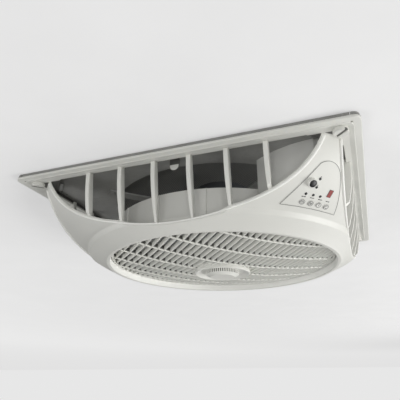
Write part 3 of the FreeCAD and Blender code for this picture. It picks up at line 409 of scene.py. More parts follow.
@dataclass(frozen=True)
class Finish:
    """One finish of the fan, turned into a material on first use.

    Args:
        name: Name of the material.
        colour: Linear colour.
        surface: Kind of surface.
        rough: Middle roughness.
        metallic: Share of metal.
        drift: How far the colour wanders, as a share.
        scale: Fineness of the surface's pattern, per metre.
        depth: Depth of the pattern in millimetres.
        dust: Amount of settled dust.
        rub: Amount of edge rub.
        coat: Weight of a clear coat.
        slot_shade: Amount of painted shade in a slot along the diagonals.
        film: Amount of painted shade that deepens upward from a domed edge, standing in for the shade between slats.
        film_from: Height in millimetres where that painted shade starts.
        film_to: Height in millimetres where it is darkest.
        inside: Amount of painted shade inside the frame's opening.
    """

    name: str
    colour: Colour
    surface: Surface = Surface.MOULDED
    rough: float = 0.45
    metallic: float = 0.0
    drift: float = 0.05
    scale: float = 900.0
    depth: float = 0.02
    dust: float = 0.0
    rub: float = 0.0
    coat: float = 0.0
    slot_shade: float = 0.0
    film: float = 0.0
    film_from: float = 1.2
    film_to: float = 8.0
    inside: float = 0.0

    def shade(self, factor: float, lift: float = 0.0) -> Tuple[float, ...]:
        """The colour made lighter or darker."""
        return opaque(tuple(min(1.0, part * factor + lift) for part in self.colour))

    @cache
    def material(self) -> bpy.types.Material:
        """Build the material once.

        Returns:
            The material.
        """
        made = bpy.data.materials.new(self.name)
        pen = Pen.blank(made)
        pattern = pen.group(getattr(Effects, self.surface.value)(), {0: self.scale})
        drift = pattern["Drift"]
        colour = pen.mix(drift, self.shade(1.0 - self.drift), self.shade(1.0 + self.drift))
        rough = pen.ramp(drift, 0.0, 1.0, max(ROUGH_LEAST, self.rough - ROUGH_SWING),
                         min(1.0, self.rough + ROUGH_SWING))
        heights = {"Shade Start": self.film_from * MM, "Shade Full": self.film_to * MM}
        # Edge rub and dust are the surface's own; the depth, inside and slot layers are painted shade.
        layers = ((self.rub, Effects.rub, {}, self.shade(RUB_FACTOR, RUB_LIFT)),
                  (self.dust, Effects.dust, {}, opaque(tint(*DUST_TINT))),
                  (self.film, Effects.depth, heights, opaque(tint(*DEPTH_SHADE_TINT))),
                  (self.inside, Effects.inside, {}, opaque(tint(*INSIDE_SHADE_TINT))),
                  (self.slot_shade, Effects.slot, {}, opaque(tint(*SLOT_SHADE_TINT))))
        for amount, effect, values, over in layers:
            if amount:
                mask = pen.times(pen.group(effect(), values)[0], amount)
                colour = pen.mix(mask, colour, over)
                if effect is Effects.dust:
                    rough = pen.math("MAXIMUM", rough, pen.times(mask, DUST_ROUGH))
        bump = pen.out("ShaderNodeBump", {"Strength": BUMP_STRENGTH, "Distance": self.depth * MM,
                                          "Height": pattern["Height"]})
        shader = pen.out("ShaderNodeBsdfPrincipled", {
            "Base Color": colour, "Roughness": rough, "Metallic": self.metallic, "Coat Weight": self.coat,
            "Coat Roughness": COAT_ROUGH, "Normal": bump})
        pen.node("ShaderNodeOutputMaterial", {"Surface": shader})
        return made


class Paint:
    """The fan's finishes by the place where they are used."""

    BODY = Finish("warm_white_body", tint(228, 228, 222), rough=0.42, drift=0.025, dust=0.10)
    # Lighter than the body: a painted highlight along the intakes' rolled edges.
    EDGE_HIGHLIGHT = Finish("rolled_edge_painted_highlight", tint(250, 250, 245), rough=0.38, drift=0.02)
    # Lighter than the body: a painted highlight on the lip's inner wall where the key light falls.
    LIP_HIGHLIGHT = Finish("lip_painted_highlight", tint(250, 250, 246), rough=0.45, drift=0.015)
    RIBS = Finish("warm_white_ribs", tint(238, 238, 232), rough=0.44, drift=0.03, dust=0.12)
    GRILLE = Finish("warm_white_grille", tint(232, 232, 226), rough=0.40, drift=0.025, dust=0.08)
    # Slats and bars darken with height above their lower edges: painted shade between the slats, darkest on the bars
    # where the fins shade them.
    SLATS = Finish("warm_white_slats", tint(234, 234, 228), rough=0.42, drift=0.025, film=0.3)
    BARS = Finish("warm_white_bars", tint(236, 236, 230), rough=0.42, drift=0.025, film=0.9, film_from=1.7,
                  film_to=3.2)
    # A darker band between the knob's grips: painted shade.
    GROOVE_SHADE = Finish("knob_groove_painted_shade", tint(122, 122, 119), rough=0.6, drift=0.08)
    DUCT = Finish("pale_grey_duct", tint(222, 222, 217), rough=0.5, drift=0.04, dust=0.25)
    # The inside layer darkens the frame within the cowl and on its upstand: painted shade.
    FRAME = Finish("warm_white_frame", tint(228, 228, 222), rough=0.40, drift=0.025, inside=0.9)
    # The slot layer darkens the head's slot: painted shade in the recess.
    SCREW_HEAD = Finish("white_corner_screw", tint(222, 222, 216), rough=0.38, drift=0.04, scale=1400.0, slot_shade=0.7)
    FOAM = Finish("grey_foam", tint(168, 168, 164), Surface.FOAM, rough=0.92, drift=0.2, scale=650.0, depth=0.35)
    DECK = Finish("zinc_sheet", tint(166, 166, 164), Surface.SHEET, rough=0.5, metallic=0.4, drift=0.14, dust=0.18,
                  scale=700.0, depth=0.01, rub=0.3)
    DOME = Finish("black_mesh_dome", tint(112, 112, 110), Surface.PIERCED, rough=0.6, drift=0.5, scale=210.0,
                  depth=0.4, dust=0.22)
    BRACKET = Finish("bright_bracket", tint(168, 170, 172), Surface.SHEET, rough=0.36, metallic=0.85, drift=0.12,
                     depth=0.01, rub=0.4, dust=0.1)
    FASTENER = Finish("plated_fastener", tint(186, 187, 188), rough=0.28, metallic=0.95, drift=0.1, scale=1500.0,
                      depth=0.01, rub=0.3)
    MOTOR = Finish("cast_motor", tint(92, 94, 97), rough=0.55, metallic=0.55, drift=0.2, scale=420.0, depth=0.12,
                   dust=0.1)
    IRON = Finish("core_iron", tint(74, 72, 70), Surface.SHEET, rough=0.5, metallic=0.7, drift=0.25, scale=1200.0,
                  depth=0.05)
    BEARING = Finish("bearing_ring", tint(178, 180, 184), rough=0.2, metallic=1.0, drift=0.08, scale=1600.0,
                     depth=0.005)
    BLADE = Finish("grey_blade", tint(176, 178, 179), rough=0.38, dust=0.3)
    BOX = Finish("grey_white_box", tint(206, 206, 202), rough=0.5, drift=0.04, dust=0.15)
    BOARD = Finish("green_board", tint(34, 84, 52), rough=0.38, drift=0.25, scale=520.0, depth=0.03, coat=0.4)
    CAPACITOR = Finish("dark_capacitor", tint(48, 50, 56), rough=0.35, drift=0.12)
    TERMINAL = Finish("green_terminal", tint(58, 116, 92), drift=0.08)
    GLAND = Finish("dark_gland", tint(58, 59, 60), rough=0.48, drift=0.1, rub=0.2)
    PANEL = Finish("matt_panel_film", tint(226, 226, 220), rough=0.5, drift=0.02, scale=2200.0, depth=0.01)
    BUTTON = Finish("white_button", tint(224, 224, 219), rough=0.36, drift=0.04, scale=1600.0, depth=0.01)
    INK = Finish("dark_ink", tint(38, 39, 42), rough=0.6, drift=0.18, scale=2600.0, depth=0.005)
    EDGE_INK = Finish("edge_ink", tint(132, 132, 131), rough=0.6, drift=0.1, scale=2600.0, depth=0.005)
    LENS = Finish("dark_lens", tint(20, 20, 22), rough=0.36, drift=0.2, scale=1800.0, depth=0.004)
    WINDOW = Finish("muted_red_window", tint(150, 62, 58), rough=0.55, drift=0.14, depth=0.004)
    NUB = Finish("pale_nub", tint(228, 228, 223), scale=1500.0)
    RECEIVER = Finish("black_receiver", tint(26, 26, 28), rough=0.42, drift=0.25, scale=1500.0, depth=0.01)
    # The tab's dark grey is partly its steel and partly painted shade on its upper part; the pale pad is a painted
    # highlight on its end.
    TAB_SHADE = Finish("tab_grey_painted_shade", tint(112, 112, 110), Surface.SHEET, rough=0.5, metallic=0.5, drift=0.1, rub=0.2,
                 depth=0.01)
    PAD_HIGHLIGHT = Finish("tab_pad_painted_highlight", tint(226, 226, 221), drift=0.04, scale=1400.0)


class Forms:
    """Ways of making plain meshes, in millimetres, returned as metre meshes."""

    @staticmethod
    @contextmanager
    def work(made: Mesh, *sources: Mesh) -> Iterator[bmesh.types.BMesh]:
        """Faces of some meshes to work on, written to a mesh at the end.

        Args:
            made: Mesh that is written.
            sources: Meshes whose faces are taken.

        Returns:
            The faces, for a with statement.
        """
        edit = bmesh.new()
        for part in sources:
            edit.from_mesh(part)
        yield edit
        edit.to_mesh(made)
        edit.free()

    @staticmethod
    def mesh(name: str, points: Sequence[Sequence[float]], faces: Faces, weld: float = 0.004) -> Mesh:
        """Make a closed mesh with its doubles merged and its faces turned outward.

        Args:
            name: Name of the mesh.
            points: Corner places in millimetres.
            faces: Corner numbers of each face.
            weld: Merging distance in millimetres.

        Returns:
            The mesh, in metres.
        """
        made = bpy.data.meshes.new(name)
        made.from_pydata([Vector(p) * MM for p in points], [], faces)
        with Forms.work(made, made) as edit:
            bmesh.ops.remove_doubles(edit, verts=edit.verts, dist=weld * MM)
            bmesh.ops.dissolve_degenerate(edit, edges=edit.edges, dist=weld * MM)
            bmesh.ops.recalc_face_normals(edit, faces=edit.faces)
        return made

    @staticmethod
    def skin(rows: int, count: int, around: bool = False, base: int = 0) -> Faces:
        """Faces between neighbouring rings of points.

        Args:
            rows: Number of rings.
            count: Points of each ring.
            around: Whether the last ring joins the first.
            base: Number of the first point.

        Returns:
            The faces.
        """
        faces: Faces = []
        for row in range(rows if around else rows - 1):
            here, there = base + row * count, base + (row + 1) % rows * count
            faces += [(here + i, here + (i + 1) % count, there + (i + 1) % count, there + i)
                      for i in range(count)]
        return faces

    @staticmethod
    def lathe(name: str, profile: Sequence[Point2], steps: int = 96) -> Mesh:
        """Turn a closed outline of (radius, height) points about the main axis.

        Args:
            name: Name of the mesh.
            profile: Outline points, without the first one repeated.
            steps: Faces round the axis.

        Returns:
            The turned mesh.
        """
        angles = [2.0 * math.pi * step / steps for step in range(steps)]
        points = [(r * math.cos(a), r * math.sin(a), z) for a in angles for r, z in profile]
        count = len(profile)
        faces = [face for face in Forms.skin(steps, count, True)
                 if max(profile[face[0] % count][0], profile[face[1] % count][0]) >= 1e-9]
        return Forms.mesh(name, points, faces)

    @staticmethod
    def rounded(points: Sequence[Point3], closed: bool = True, steps: int = 4) -> List[Point2]:
        """Round the corners of an outline.

        Args:
            points: (x, y, radius) of each corner; a radius of 0 keeps it sharp.
            closed: Whether the last corner joins the first.
            steps: Segments of each round.

        Returns:
            The rounded outline.
        """
        made: List[Point2] = []
        count = len(points)
        for index, (x, y, radius) in enumerate(points):
            corner = Vector((x, y))
            if radius <= 0 or (not closed and index in (0, count - 1)):
                made.append((x, y))
                continue
            before = (Vector(points[index - 1][:2]) - corner).normalized()
            after = (Vector(points[(index + 1) % count][:2]) - corner).normalized()
            half = before.angle(after) / 2.0
            middle = corner + (before + after).normalized() * (radius / math.sin(half))
            start = corner + before * (radius / math.tan(half)) - middle
            end = corner + after * (radius / math.tan(half)) - middle
            sweep = start.angle_signed(end)
            turns = [Matrix.Rotation(angle, 2) for angle in span(0.0, -sweep, steps)]
            made += [tuple(middle + turn @ start) for turn in turns]
        return made

    @staticmethod
    def loft(name: str, rings: Sequence[Sequence[Sequence[float]]]) -> Mesh:
        """Skin over rings of equal count, closed by a face at each end.

        Args:
            name: Name of the mesh.
            rings: Points of each ring.

        Returns:
            The skin's mesh.
        """
        rows, count = len(rings), len(rings[0])
        ends: Faces = [tuple(range(count)), tuple(range((rows - 1) * count, rows * count))]
        return Forms.mesh(name, [point for ring in rings for point in ring], ends + Forms.skin(rows, count))

    @staticmethod
    def prism(name: str, outline: Sequence[Point2], low: float, high: float) -> Mesh:
        """Upright prism over a plan outline."""
        return Forms.loft(name, [[(x, y, z) for x, y in outline] for z in (low, high)])

    @staticmethod
    def ribbon(name: str, strokes: Sequence[Stroke], width: float, thick: float) -> Mesh:
        """Flat printed strokes that follow a surface.

        Args:
            name: Name of the mesh.
            strokes: For each stroke, its (place, surface normal) pairs in millimetres.
            width: Width of the strokes.
            thick: Height of the ink above the surface.

        Returns:
            One mesh of all the strokes.
        """
        points: List[Vector] = []
        faces: Faces = []
        for stroke in strokes:
            base, last = len(points), len(stroke) - 1
            closed = (stroke[0][0] - stroke[last][0]).length < 1e-6
            for index, (place, normal) in enumerate(stroke):
                before = stroke[index - 1 if index else (last - 1 if closed else 0)][0]
                after = stroke[index + 1 if index < last else (1 if closed else last)][0]
                side = normal.cross((after - before).normalized()).normalized() * (width / 2.0)
                low, high = (place - side, place + side), (place + side, place - side)
                points += [*low, *(point + normal * thick for point in high)]
            faces += Forms.skin(last + 1, 4, base=base)
            if not closed:
                faces += [tuple(range(first, first + 4)) for first in (base, base + last * 4)]
        return Forms.mesh(name, points, faces, weld=0.0005)

    @staticmethod
    def joined(name: str, *meshes: Mesh) -> Mesh:
        """One mesh made of several.

        Args:
            name: Name of the result.
            meshes: The meshes.

        Returns:
            The joined mesh.
        """
        made = bpy.data.meshes.new(name)
        with Forms.work(made, *meshes):
            return made

    @staticmethod
    def moved(mesh: Mesh, place: Matrix) -> Mesh:
        """The mesh put in its place, in metres."""
        mesh.transform(place)
        return mesh

    @staticmethod
    def copied(node: str) -> Mesh:
        """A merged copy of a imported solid's mesh with its flat faces joined up.

        Args:
            node: Name of the solid.

        Returns:
            The copy.
        """
        made = bpy.data.meshes.new(node + "_soft")
        with Forms.work(made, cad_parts[node].data) as edit:
            bmesh.ops.remove_doubles(edit, verts=edit.verts, dist=SOLID_MERGE)
            bmesh.ops.dissolve_limit(edit, angle_limit=math.radians(SOLID_FLAT), verts=edit.verts, edges=edit.edges)
        return made

    @staticmethod
    def shaded(mesh: Mesh, sharp: float = 40.0, round_off: float = 0.0) -> Mesh:
        """Shade a mesh smoothly, with its sharp edges kept or rounded.

        Args:
            mesh: Closed mesh.
            sharp: Edges that turn by more than this many degrees are sharp.
            round_off: Width of the rounded edges in millimetres; 0 keeps them sharp.

        Returns:
            The finished mesh.
        """
        holder = Arrays.holder(mesh)
        for face in mesh.polygons:
            face.use_smooth = True
        if round_off > 0:
            bevel = holder.modifiers.new("round_off", "BEVEL")
            bevel.width = round_off * MM
            bevel.segments = ROUND_STEPS
            bevel.limit_method = "ANGLE"
            bevel.angle_limit = math.radians(sharp)
            bevel.use_clamp_overlap = False
        else:
            mesh.set_sharp_from_angle(angle=math.radians(sharp))
        weights = holder.modifiers.new("flat_faces", "WEIGHTED_NORMAL")
        weights.keep_sharp = True
        weights.weight = FLAT_WEIGHT
        return Arrays.settle(holder, mesh.name)

    @staticmethod
    def turned(name: str, profile: Sequence[Point2], steps: int, sharp: float = 40.0) -> Mesh:
        """Shaded lathe work."""
        return Forms.shaded(Forms.lathe(name, profile, steps), sharp)


class Arrays:
    """Geometry node trees for what repeats, and the turning of their results into meshes."""

    @staticmethod
    def holder(mesh: Mesh) -> bpy.types.Object:
        """Object that holds a mesh while modifiers work on it.

        Args:
            mesh: The mesh.

        Returns:
            The object.
        """
        made = bpy.data.objects.new("holder", mesh)
        bpy.context.scene.collection.objects.link(made)
        return made

    @staticmethod
    def settle(holder: bpy.types.Object, name: str) -> Mesh:
        """Turn a holder's evaluated shape into a plain mesh and drop the holder.

        Args:
            holder: Object with its modifiers.
            name: Name of the result.

        Returns:
            The plain mesh.
        """
        bpy.context.view_layer.update()
        graph = bpy.context.evaluated_depsgraph_get()
        made = bpy.data.meshes.new_from_object(holder.evaluated_get(graph))
        made.name = name
        holder.modifiers.clear()
        bpy.data.objects.remove(holder)
        return made

    @staticmethod
    def run(name: str, tree: Tree, base: Mesh | None, finish: Finish, values: Dict[str, object]) -> Mesh:
        """Run a tree on a base mesh.

        Args:
            name: Name of the result.
            tree: The tree.
            base: Mesh that the tree repeats, or nothing where it makes its own.
            finish: Finish of the result.
            values: The tree's named inputs, lengths in metres.

        Returns:
            The result as a plain mesh.
        """
        holder = Arrays.holder(base or bpy.data.meshes.new("empty"))
        modifier = holder.modifiers.new("array", "NODES")
        modifier.node_group = tree
        sockets = {item.name: item.identifier for item in tree.interface.items_tree
                   if item.item_type == "SOCKET" and item.in_out == "INPUT"}
        for label, value in {**values, "Material": finish.material()}.items():
            modifier[sockets[label]] = value
        return Arrays.settle(holder, name)

    @staticmethod
    def ringed(name: str, base: Mesh, finish: Finish, count: int = 4, radius: float = 0.0,
               start: float = 0.0) -> Mesh:
        """Copies of a mesh round the main axis.

        Args:
            name: Name of the result.
            base: Mesh at the first place, along +X.
            finish: Finish of the result.
            count: Number of copies.
            radius: How far they are moved out, in millimetres.
            start: Direction of the first one in degrees.

        Returns:
            The copies as one mesh.
        """
        values = {"Count": count, "Radius": radius * MM, "Start": math.radians(start)}
        return Arrays.run(name, Arrays.ring(), base, finish, values)

    @staticmethod
    def start(name: str, whole: str, *numbers: str) -> GroupPen:
        """Begin a tree with a shape, numbers and a material as inputs.

        Args:
            name: Name of the tree.
            whole: Name of its whole number.
            numbers: Names of its other numbers.

        Returns:
            The tree's pen.
        """
        inputs = {"Geometry": "NodeSocketGeometry", whole: 1, **dict.fromkeys(numbers, 0.0),
                  "Material": "NodeSocketMaterial"}
        return GroupPen("GeometryNodeTree", name, inputs, ("Geometry",))

    @staticmethod
    def real(pen: Pen, shape: Socket) -> Socket:
        """Copies turned into real geometry."""
        return pen.out("GeometryNodeRealizeInstances", {"Geometry": shape})

    @staticmethod
    def close(pen: GroupPen, shape: Socket) -> Tree:
        """End a tree in real geometry with its material."""
        values = {"Geometry": Arrays.real(pen, shape), "Material": pen.given["Material"]}
        return pen.close(Geometry=pen.out("GeometryNodeSetMaterial", values))

    @staticmethod
    def place(pen: Pen) -> Sequence[Socket]:
        """The three values of a point's place."""
        return pen.split(pen.out("GeometryNodeInputPosition"))

    @staticmethod
    def turn(pen: Pen, angle: Socket) -> Socket:
        """Rotation about the main axis."""
        return pen.out("FunctionNodeEulerToRotation", {0: pen.join(z=angle)})

    @staticmethod
    def copies(pen: Pen, points: Socket, shape: Socket, angle: Socket | None = None) -> Socket:
        """Copies of a shape on points, turned about the main axis where an angle is given."""
        turn = {} if angle is None else {"Rotation": Arrays.turn(pen, angle)}
        return pen.out("GeometryNodeInstanceOnPoints", {"Points": points, "Instance": shape, **turn})

    @staticmethod
    def row(pen: GroupPen, shape: Socket) -> Socket:
        """Copies of a shape along x.

        Args:
            pen: Pen of a tree with a count, a first place and a pitch.
            shape: The shape.

        Returns:
            The copies as real geometry.
        """
        line = {"Count": pen.given["Count"], "Start Location": pen.join(pen.given["First"]),
                "Offset": pen.join(pen.given["Pitch"])}
        return Arrays.real(pen, Arrays.copies(pen, pen.out("GeometryNodeMeshLine", line), shape))

    @staticmethod
    def sweep(pen: Pen, path: Socket, section: Socket, **values: object) -> Socket:
        """Closed mesh of a section along a path."""
        whole = {"Curve": path, "Profile Curve": section, "Fill Caps": True, **values}
        return pen.out("GeometryNodeCurveToMesh", whole)

    @staticmethod
    def laid(pen: Pen, shape: Socket, place: Socket) -> Socket:
        """A shape with its points put in other places."""
        return pen.out("GeometryNodeSetPosition", {"Geometry": shape, "Position": place})

    @staticmethod
    @cache
    def ring() -> Tree:
        """Copies of a shape round the main axis.

        Returns:
            The tree.
        """
        pen = Arrays.start("ring_array", "Count", "Radius", "Start")
        count, radius = pen.given["Count"], pen.given["Radius"]
        step = pen.math("DIVIDE", 2.0 * math.pi, count)
        angle = pen.plus(pen.times(pen.out("GeometryNodeInputIndex"), step), pen.given["Start"])
        place = pen.join(pen.times(pen.math("COSINE", angle), radius), pen.times(pen.math("SINE", angle), radius))
        points = pen.out("GeometryNodePoints", {"Count": count, "Position": place})
        return Arrays.close(pen, Arrays.copies(pen, points, pen.given[0], angle))

    @staticmethod
    @cache
    def lattice() -> Tree:
        """Upright slats across a shallow dome, each in two halves outside a round hub.

        Returns:
            The tree.
        """
        pen = Arrays.start("domed_slats", "Count", "First", "Pitch", "Thickness", "Depth", "Reach", "Hub",
                           "Centre Height", "Sag", "Turn", "Edge")
        given, points, off_zero = pen.given, 22, 0.0001
        half = pen.out("GeometryNodeMeshLine", {"Count": points, "Start Location": (0.0, off_zero, 0.0),
                                                "Offset": (0.0, 1.0 / (points - 1), 0.0)})
        ahead = Arrays.row(pen, half)
        behind = pen.out("GeometryNodeTransform", {"Geometry": ahead, "Scale": (1.0, -1.0, 1.0)})
        both = pen.node("GeometryNodeJoinGeometry")
        for part in (ahead, behind):
            pen.feed(both.inputs[0], part)
        x, along, _ = Arrays.place(pen)
        near, far = (pen.root(pen.minus(pen.times(given[edge], given[edge]), pen.times(x, x)))
                     for edge in ("Hub", "Reach"))
        share = pen.math("MINIMUM", pen.size(along), 1.0)
        run = pen.plus(near, pen.times(pen.minus(far, near), share))
        y = pen.times(pen.math("SIGN", along), run)
        middle = pen.plus(given["Centre Height"], pen.times(given["Depth"], 0.5))
        z = pen.plus(middle, pen.dome(x, y, given["Reach"], given["Sag"]))
        curves = pen.out("GeometryNodeMeshToCurve", {"Mesh": Arrays.laid(pen, both.outputs[0], pen.join(x, y, z))})
        upright = pen.out("GeometryNodeSetCurveNormal", {"Curve": curves}, mode="Z_UP")
        outline = pen.out("GeometryNodeCurvePrimitiveQuadrilateral", {"Width": given["Thickness"],
                                                                      "Height": given["Depth"]})
        eased = pen.out("GeometryNodeFilletCurve", {"Curve": outline, "Radius": given["Edge"], "Count": 2},
                        mode="POLY")
        slats = Arrays.sweep(pen, upright, eased)
        turned = {"Geometry": slats, "Rotation": Arrays.turn(pen, given["Turn"])}
        return Arrays.close(pen, pen.out("GeometryNodeTransform", turned))

    @staticmethod
    @cache
    def roll() -> Tree:
        """Round roll along the edges of a path, thinner where the path runs low.

        Returns:
            The tree.
        """
        pen = Arrays.start("edge_roll", "Sides", "Radius", "Low", "High", "Thin")
        given = pen.given
        path = pen.out("GeometryNodeMeshToCurve", {"Mesh": given[0]})
        circle = pen.out("GeometryNodeCurvePrimitiveCircle", {"Resolution": given["Sides"],
                                                              "Radius": given["Radius"]})
        scale = pen.ramp(Arrays.place(pen)[2], given["Low"], given["High"], given["Thin"])
        return Arrays.close(pen, Arrays.sweep(pen, path, circle, Scale=scale))

    @staticmethod
    @cache
    def guard() -> Tree:
        """Rows of ribs on four sides whose feet end on the cowl's upper face.

        Returns:
            The tree.
        """
        pen = Arrays.start("guard_ribs", "Count", "First", "Pitch", "Band Radius", "Band Height", "Band Slope",
                           "Bowl From", "Bowl Radius", "Bowl Centre", "Bowl Height", "Sink")
        given, weld = pen.given, 0.02 * MM
        angle = pen.times(pen.out("GeometryNodeInputIndex"), QUARTER)
        four = pen.out("GeometryNodePoints", {"Count": 4})
        sides = Arrays.real(pen, Arrays.copies(pen, four, Arrays.row(pen, given[0]), angle))
        x, y, z = Arrays.place(pen)
        radius = pen.root(pen.squares(x, y))
        run = pen.times(pen.minus(radius, given["Band Radius"]), given["Band Slope"])
        band = pen.plus(given["Band Height"], run)
        off = pen.minus(radius, given["Bowl Centre"])
        room = pen.minus(pen.times(given["Bowl Radius"], given["Bowl Radius"]), pen.times(off, off))
        bowl = pen.minus(given["Bowl Height"], pen.root(room))
        step = pen.times(pen.minus(bowl, band), pen.math("GREATER_THAN", radius, given["Bowl From"]))
        floor = pen.minus(pen.plus(band, step), given["Sink"])
        feet = Arrays.laid(pen, sides, pen.join(x, y, pen.math("MAXIMUM", z, floor)))
        return Arrays.close(pen, pen.out("GeometryNodeMergeByDistance", {"Geometry": feet, "Distance": weld}))


class SubAssembly:
    """Common way to put a finished mesh on a body."""

    def place(self, name: str, mesh: Mesh, finish: Finish, slot: str, body: str = HOUSING,
              stands_for: Sequence[str] = ()) -> None:
        """Put a mesh in the scene as a piece.

        Args:
            name: Name of the piece.
            mesh: Its mesh, already in place.
            finish: Its finish.
            slot: Slot of the record for its finish; not used.
            body: Body that it moves with.
            stands_for: Solids that it replaces.
        """
        mesh.materials.clear()
        mesh.materials.append(finish.material())
        for face in mesh.polygons:
            face.material_index = 0
        piece = bpy.data.objects.new(name, mesh)
        bpy.context.scene.collection.objects.link(piece)
        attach(piece, body)
        if stands_for:
            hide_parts(*stands_for)
        LOG.info("%s: %d faces on %s", name, len(mesh.polygons), body)

    def keep(self, node: str, finish: Finish) -> None:
        """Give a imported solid, shown as it is, its finish.

        Args:
            node: Name of the solid.
            finish: Its finish.
        """
        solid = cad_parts[node]
        solid.data.materials.clear()
        solid.data.materials.append(finish.material())
        LOG.info("%s: packed solid", node)

    def soften(self, *rows: Tuple[str, Finish, str, float], body: str = HOUSING, sharp: float = 35.0) -> None:
        """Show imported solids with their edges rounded.

        Args:
            rows: Name, finish, slot of the record and width of the rounded edges in millimetres of each.
            body: Body that they move with.
            sharp: Edges that turn by more than this many degrees are rounded.
        """
        for node, finish, slot, round_off in rows:
            mesh = Forms.shaded(Forms.copied(node), sharp, round_off)
            self.place(node + "_look", mesh, finish, slot, body, [node])


@dataclass
class LegMap:
    """Places on the outer face of the control leg.

    Args:
        radius: Radius of the bowl's arc.
        centre_r: Distance of the arc's centre from the main axis.
        centre_z: Height of the arc's centre.
        corner: Direction of the leg in degrees.
    """

    radius: float
    centre_r: float
    centre_z: float
    corner: float = -45.0

    def bowl_r(self, z: float, lift: float = 0.0) -> float:
        """Radius of the bowl at a height, moved out along its normal."""
        return self.centre_r + math.sqrt((self.radius + lift) ** 2 - (z - self.centre_z) ** 2)

    def at(self, offset: float, z: float, lift: float = 0.0) -> Tuple[Vector, Vector]:
        """Place and normal at an offset along the leg and a height.

        Args:
            offset: Offset along the leg.
            z: Height.
            lift: Distance off the face.

        Returns:
            The place and the face's normal.
        """
        radius = self.bowl_r(z)
        azimuth = math.radians(self.corner) + offset / radius
        slope = math.asin((z - self.centre_z) / self.radius)
        outward = Vector((math.cos(azimuth), math.sin(azimuth), 0.0))
        normal = outward * math.cos(slope) + UP * math.sin(slope)
        return outward * radius + UP * z + normal * lift, normal

    def across(self, offset: float, z: float, lift: float = 0.0) -> Tuple[Vector, Vector]:
        """Place and normal at a straight distance across the leg's diagonal."""
        return self.at(self.bowl_r(z) * math.asin(offset / self.bowl_r(z)), z, lift)

    def matrix(self, offset: float, z: float) -> Matrix:
        """Frame on the leg: x along it, y up its face, z out of it.

        Args:
            offset: Offset along the leg.
            z: Height.

        Returns:
            The frame, in metres.
        """
        place, normal = self.at(offset, z)
        azimuth = math.atan2(place.y, place.x)
        along = Vector((-math.sin(azimuth), math.cos(azimuth), 0.0))
        turn = Matrix((along, normal.cross(along), normal)).transposed().to_4x4()
        return Matrix.Translation(place * MM) @ turn


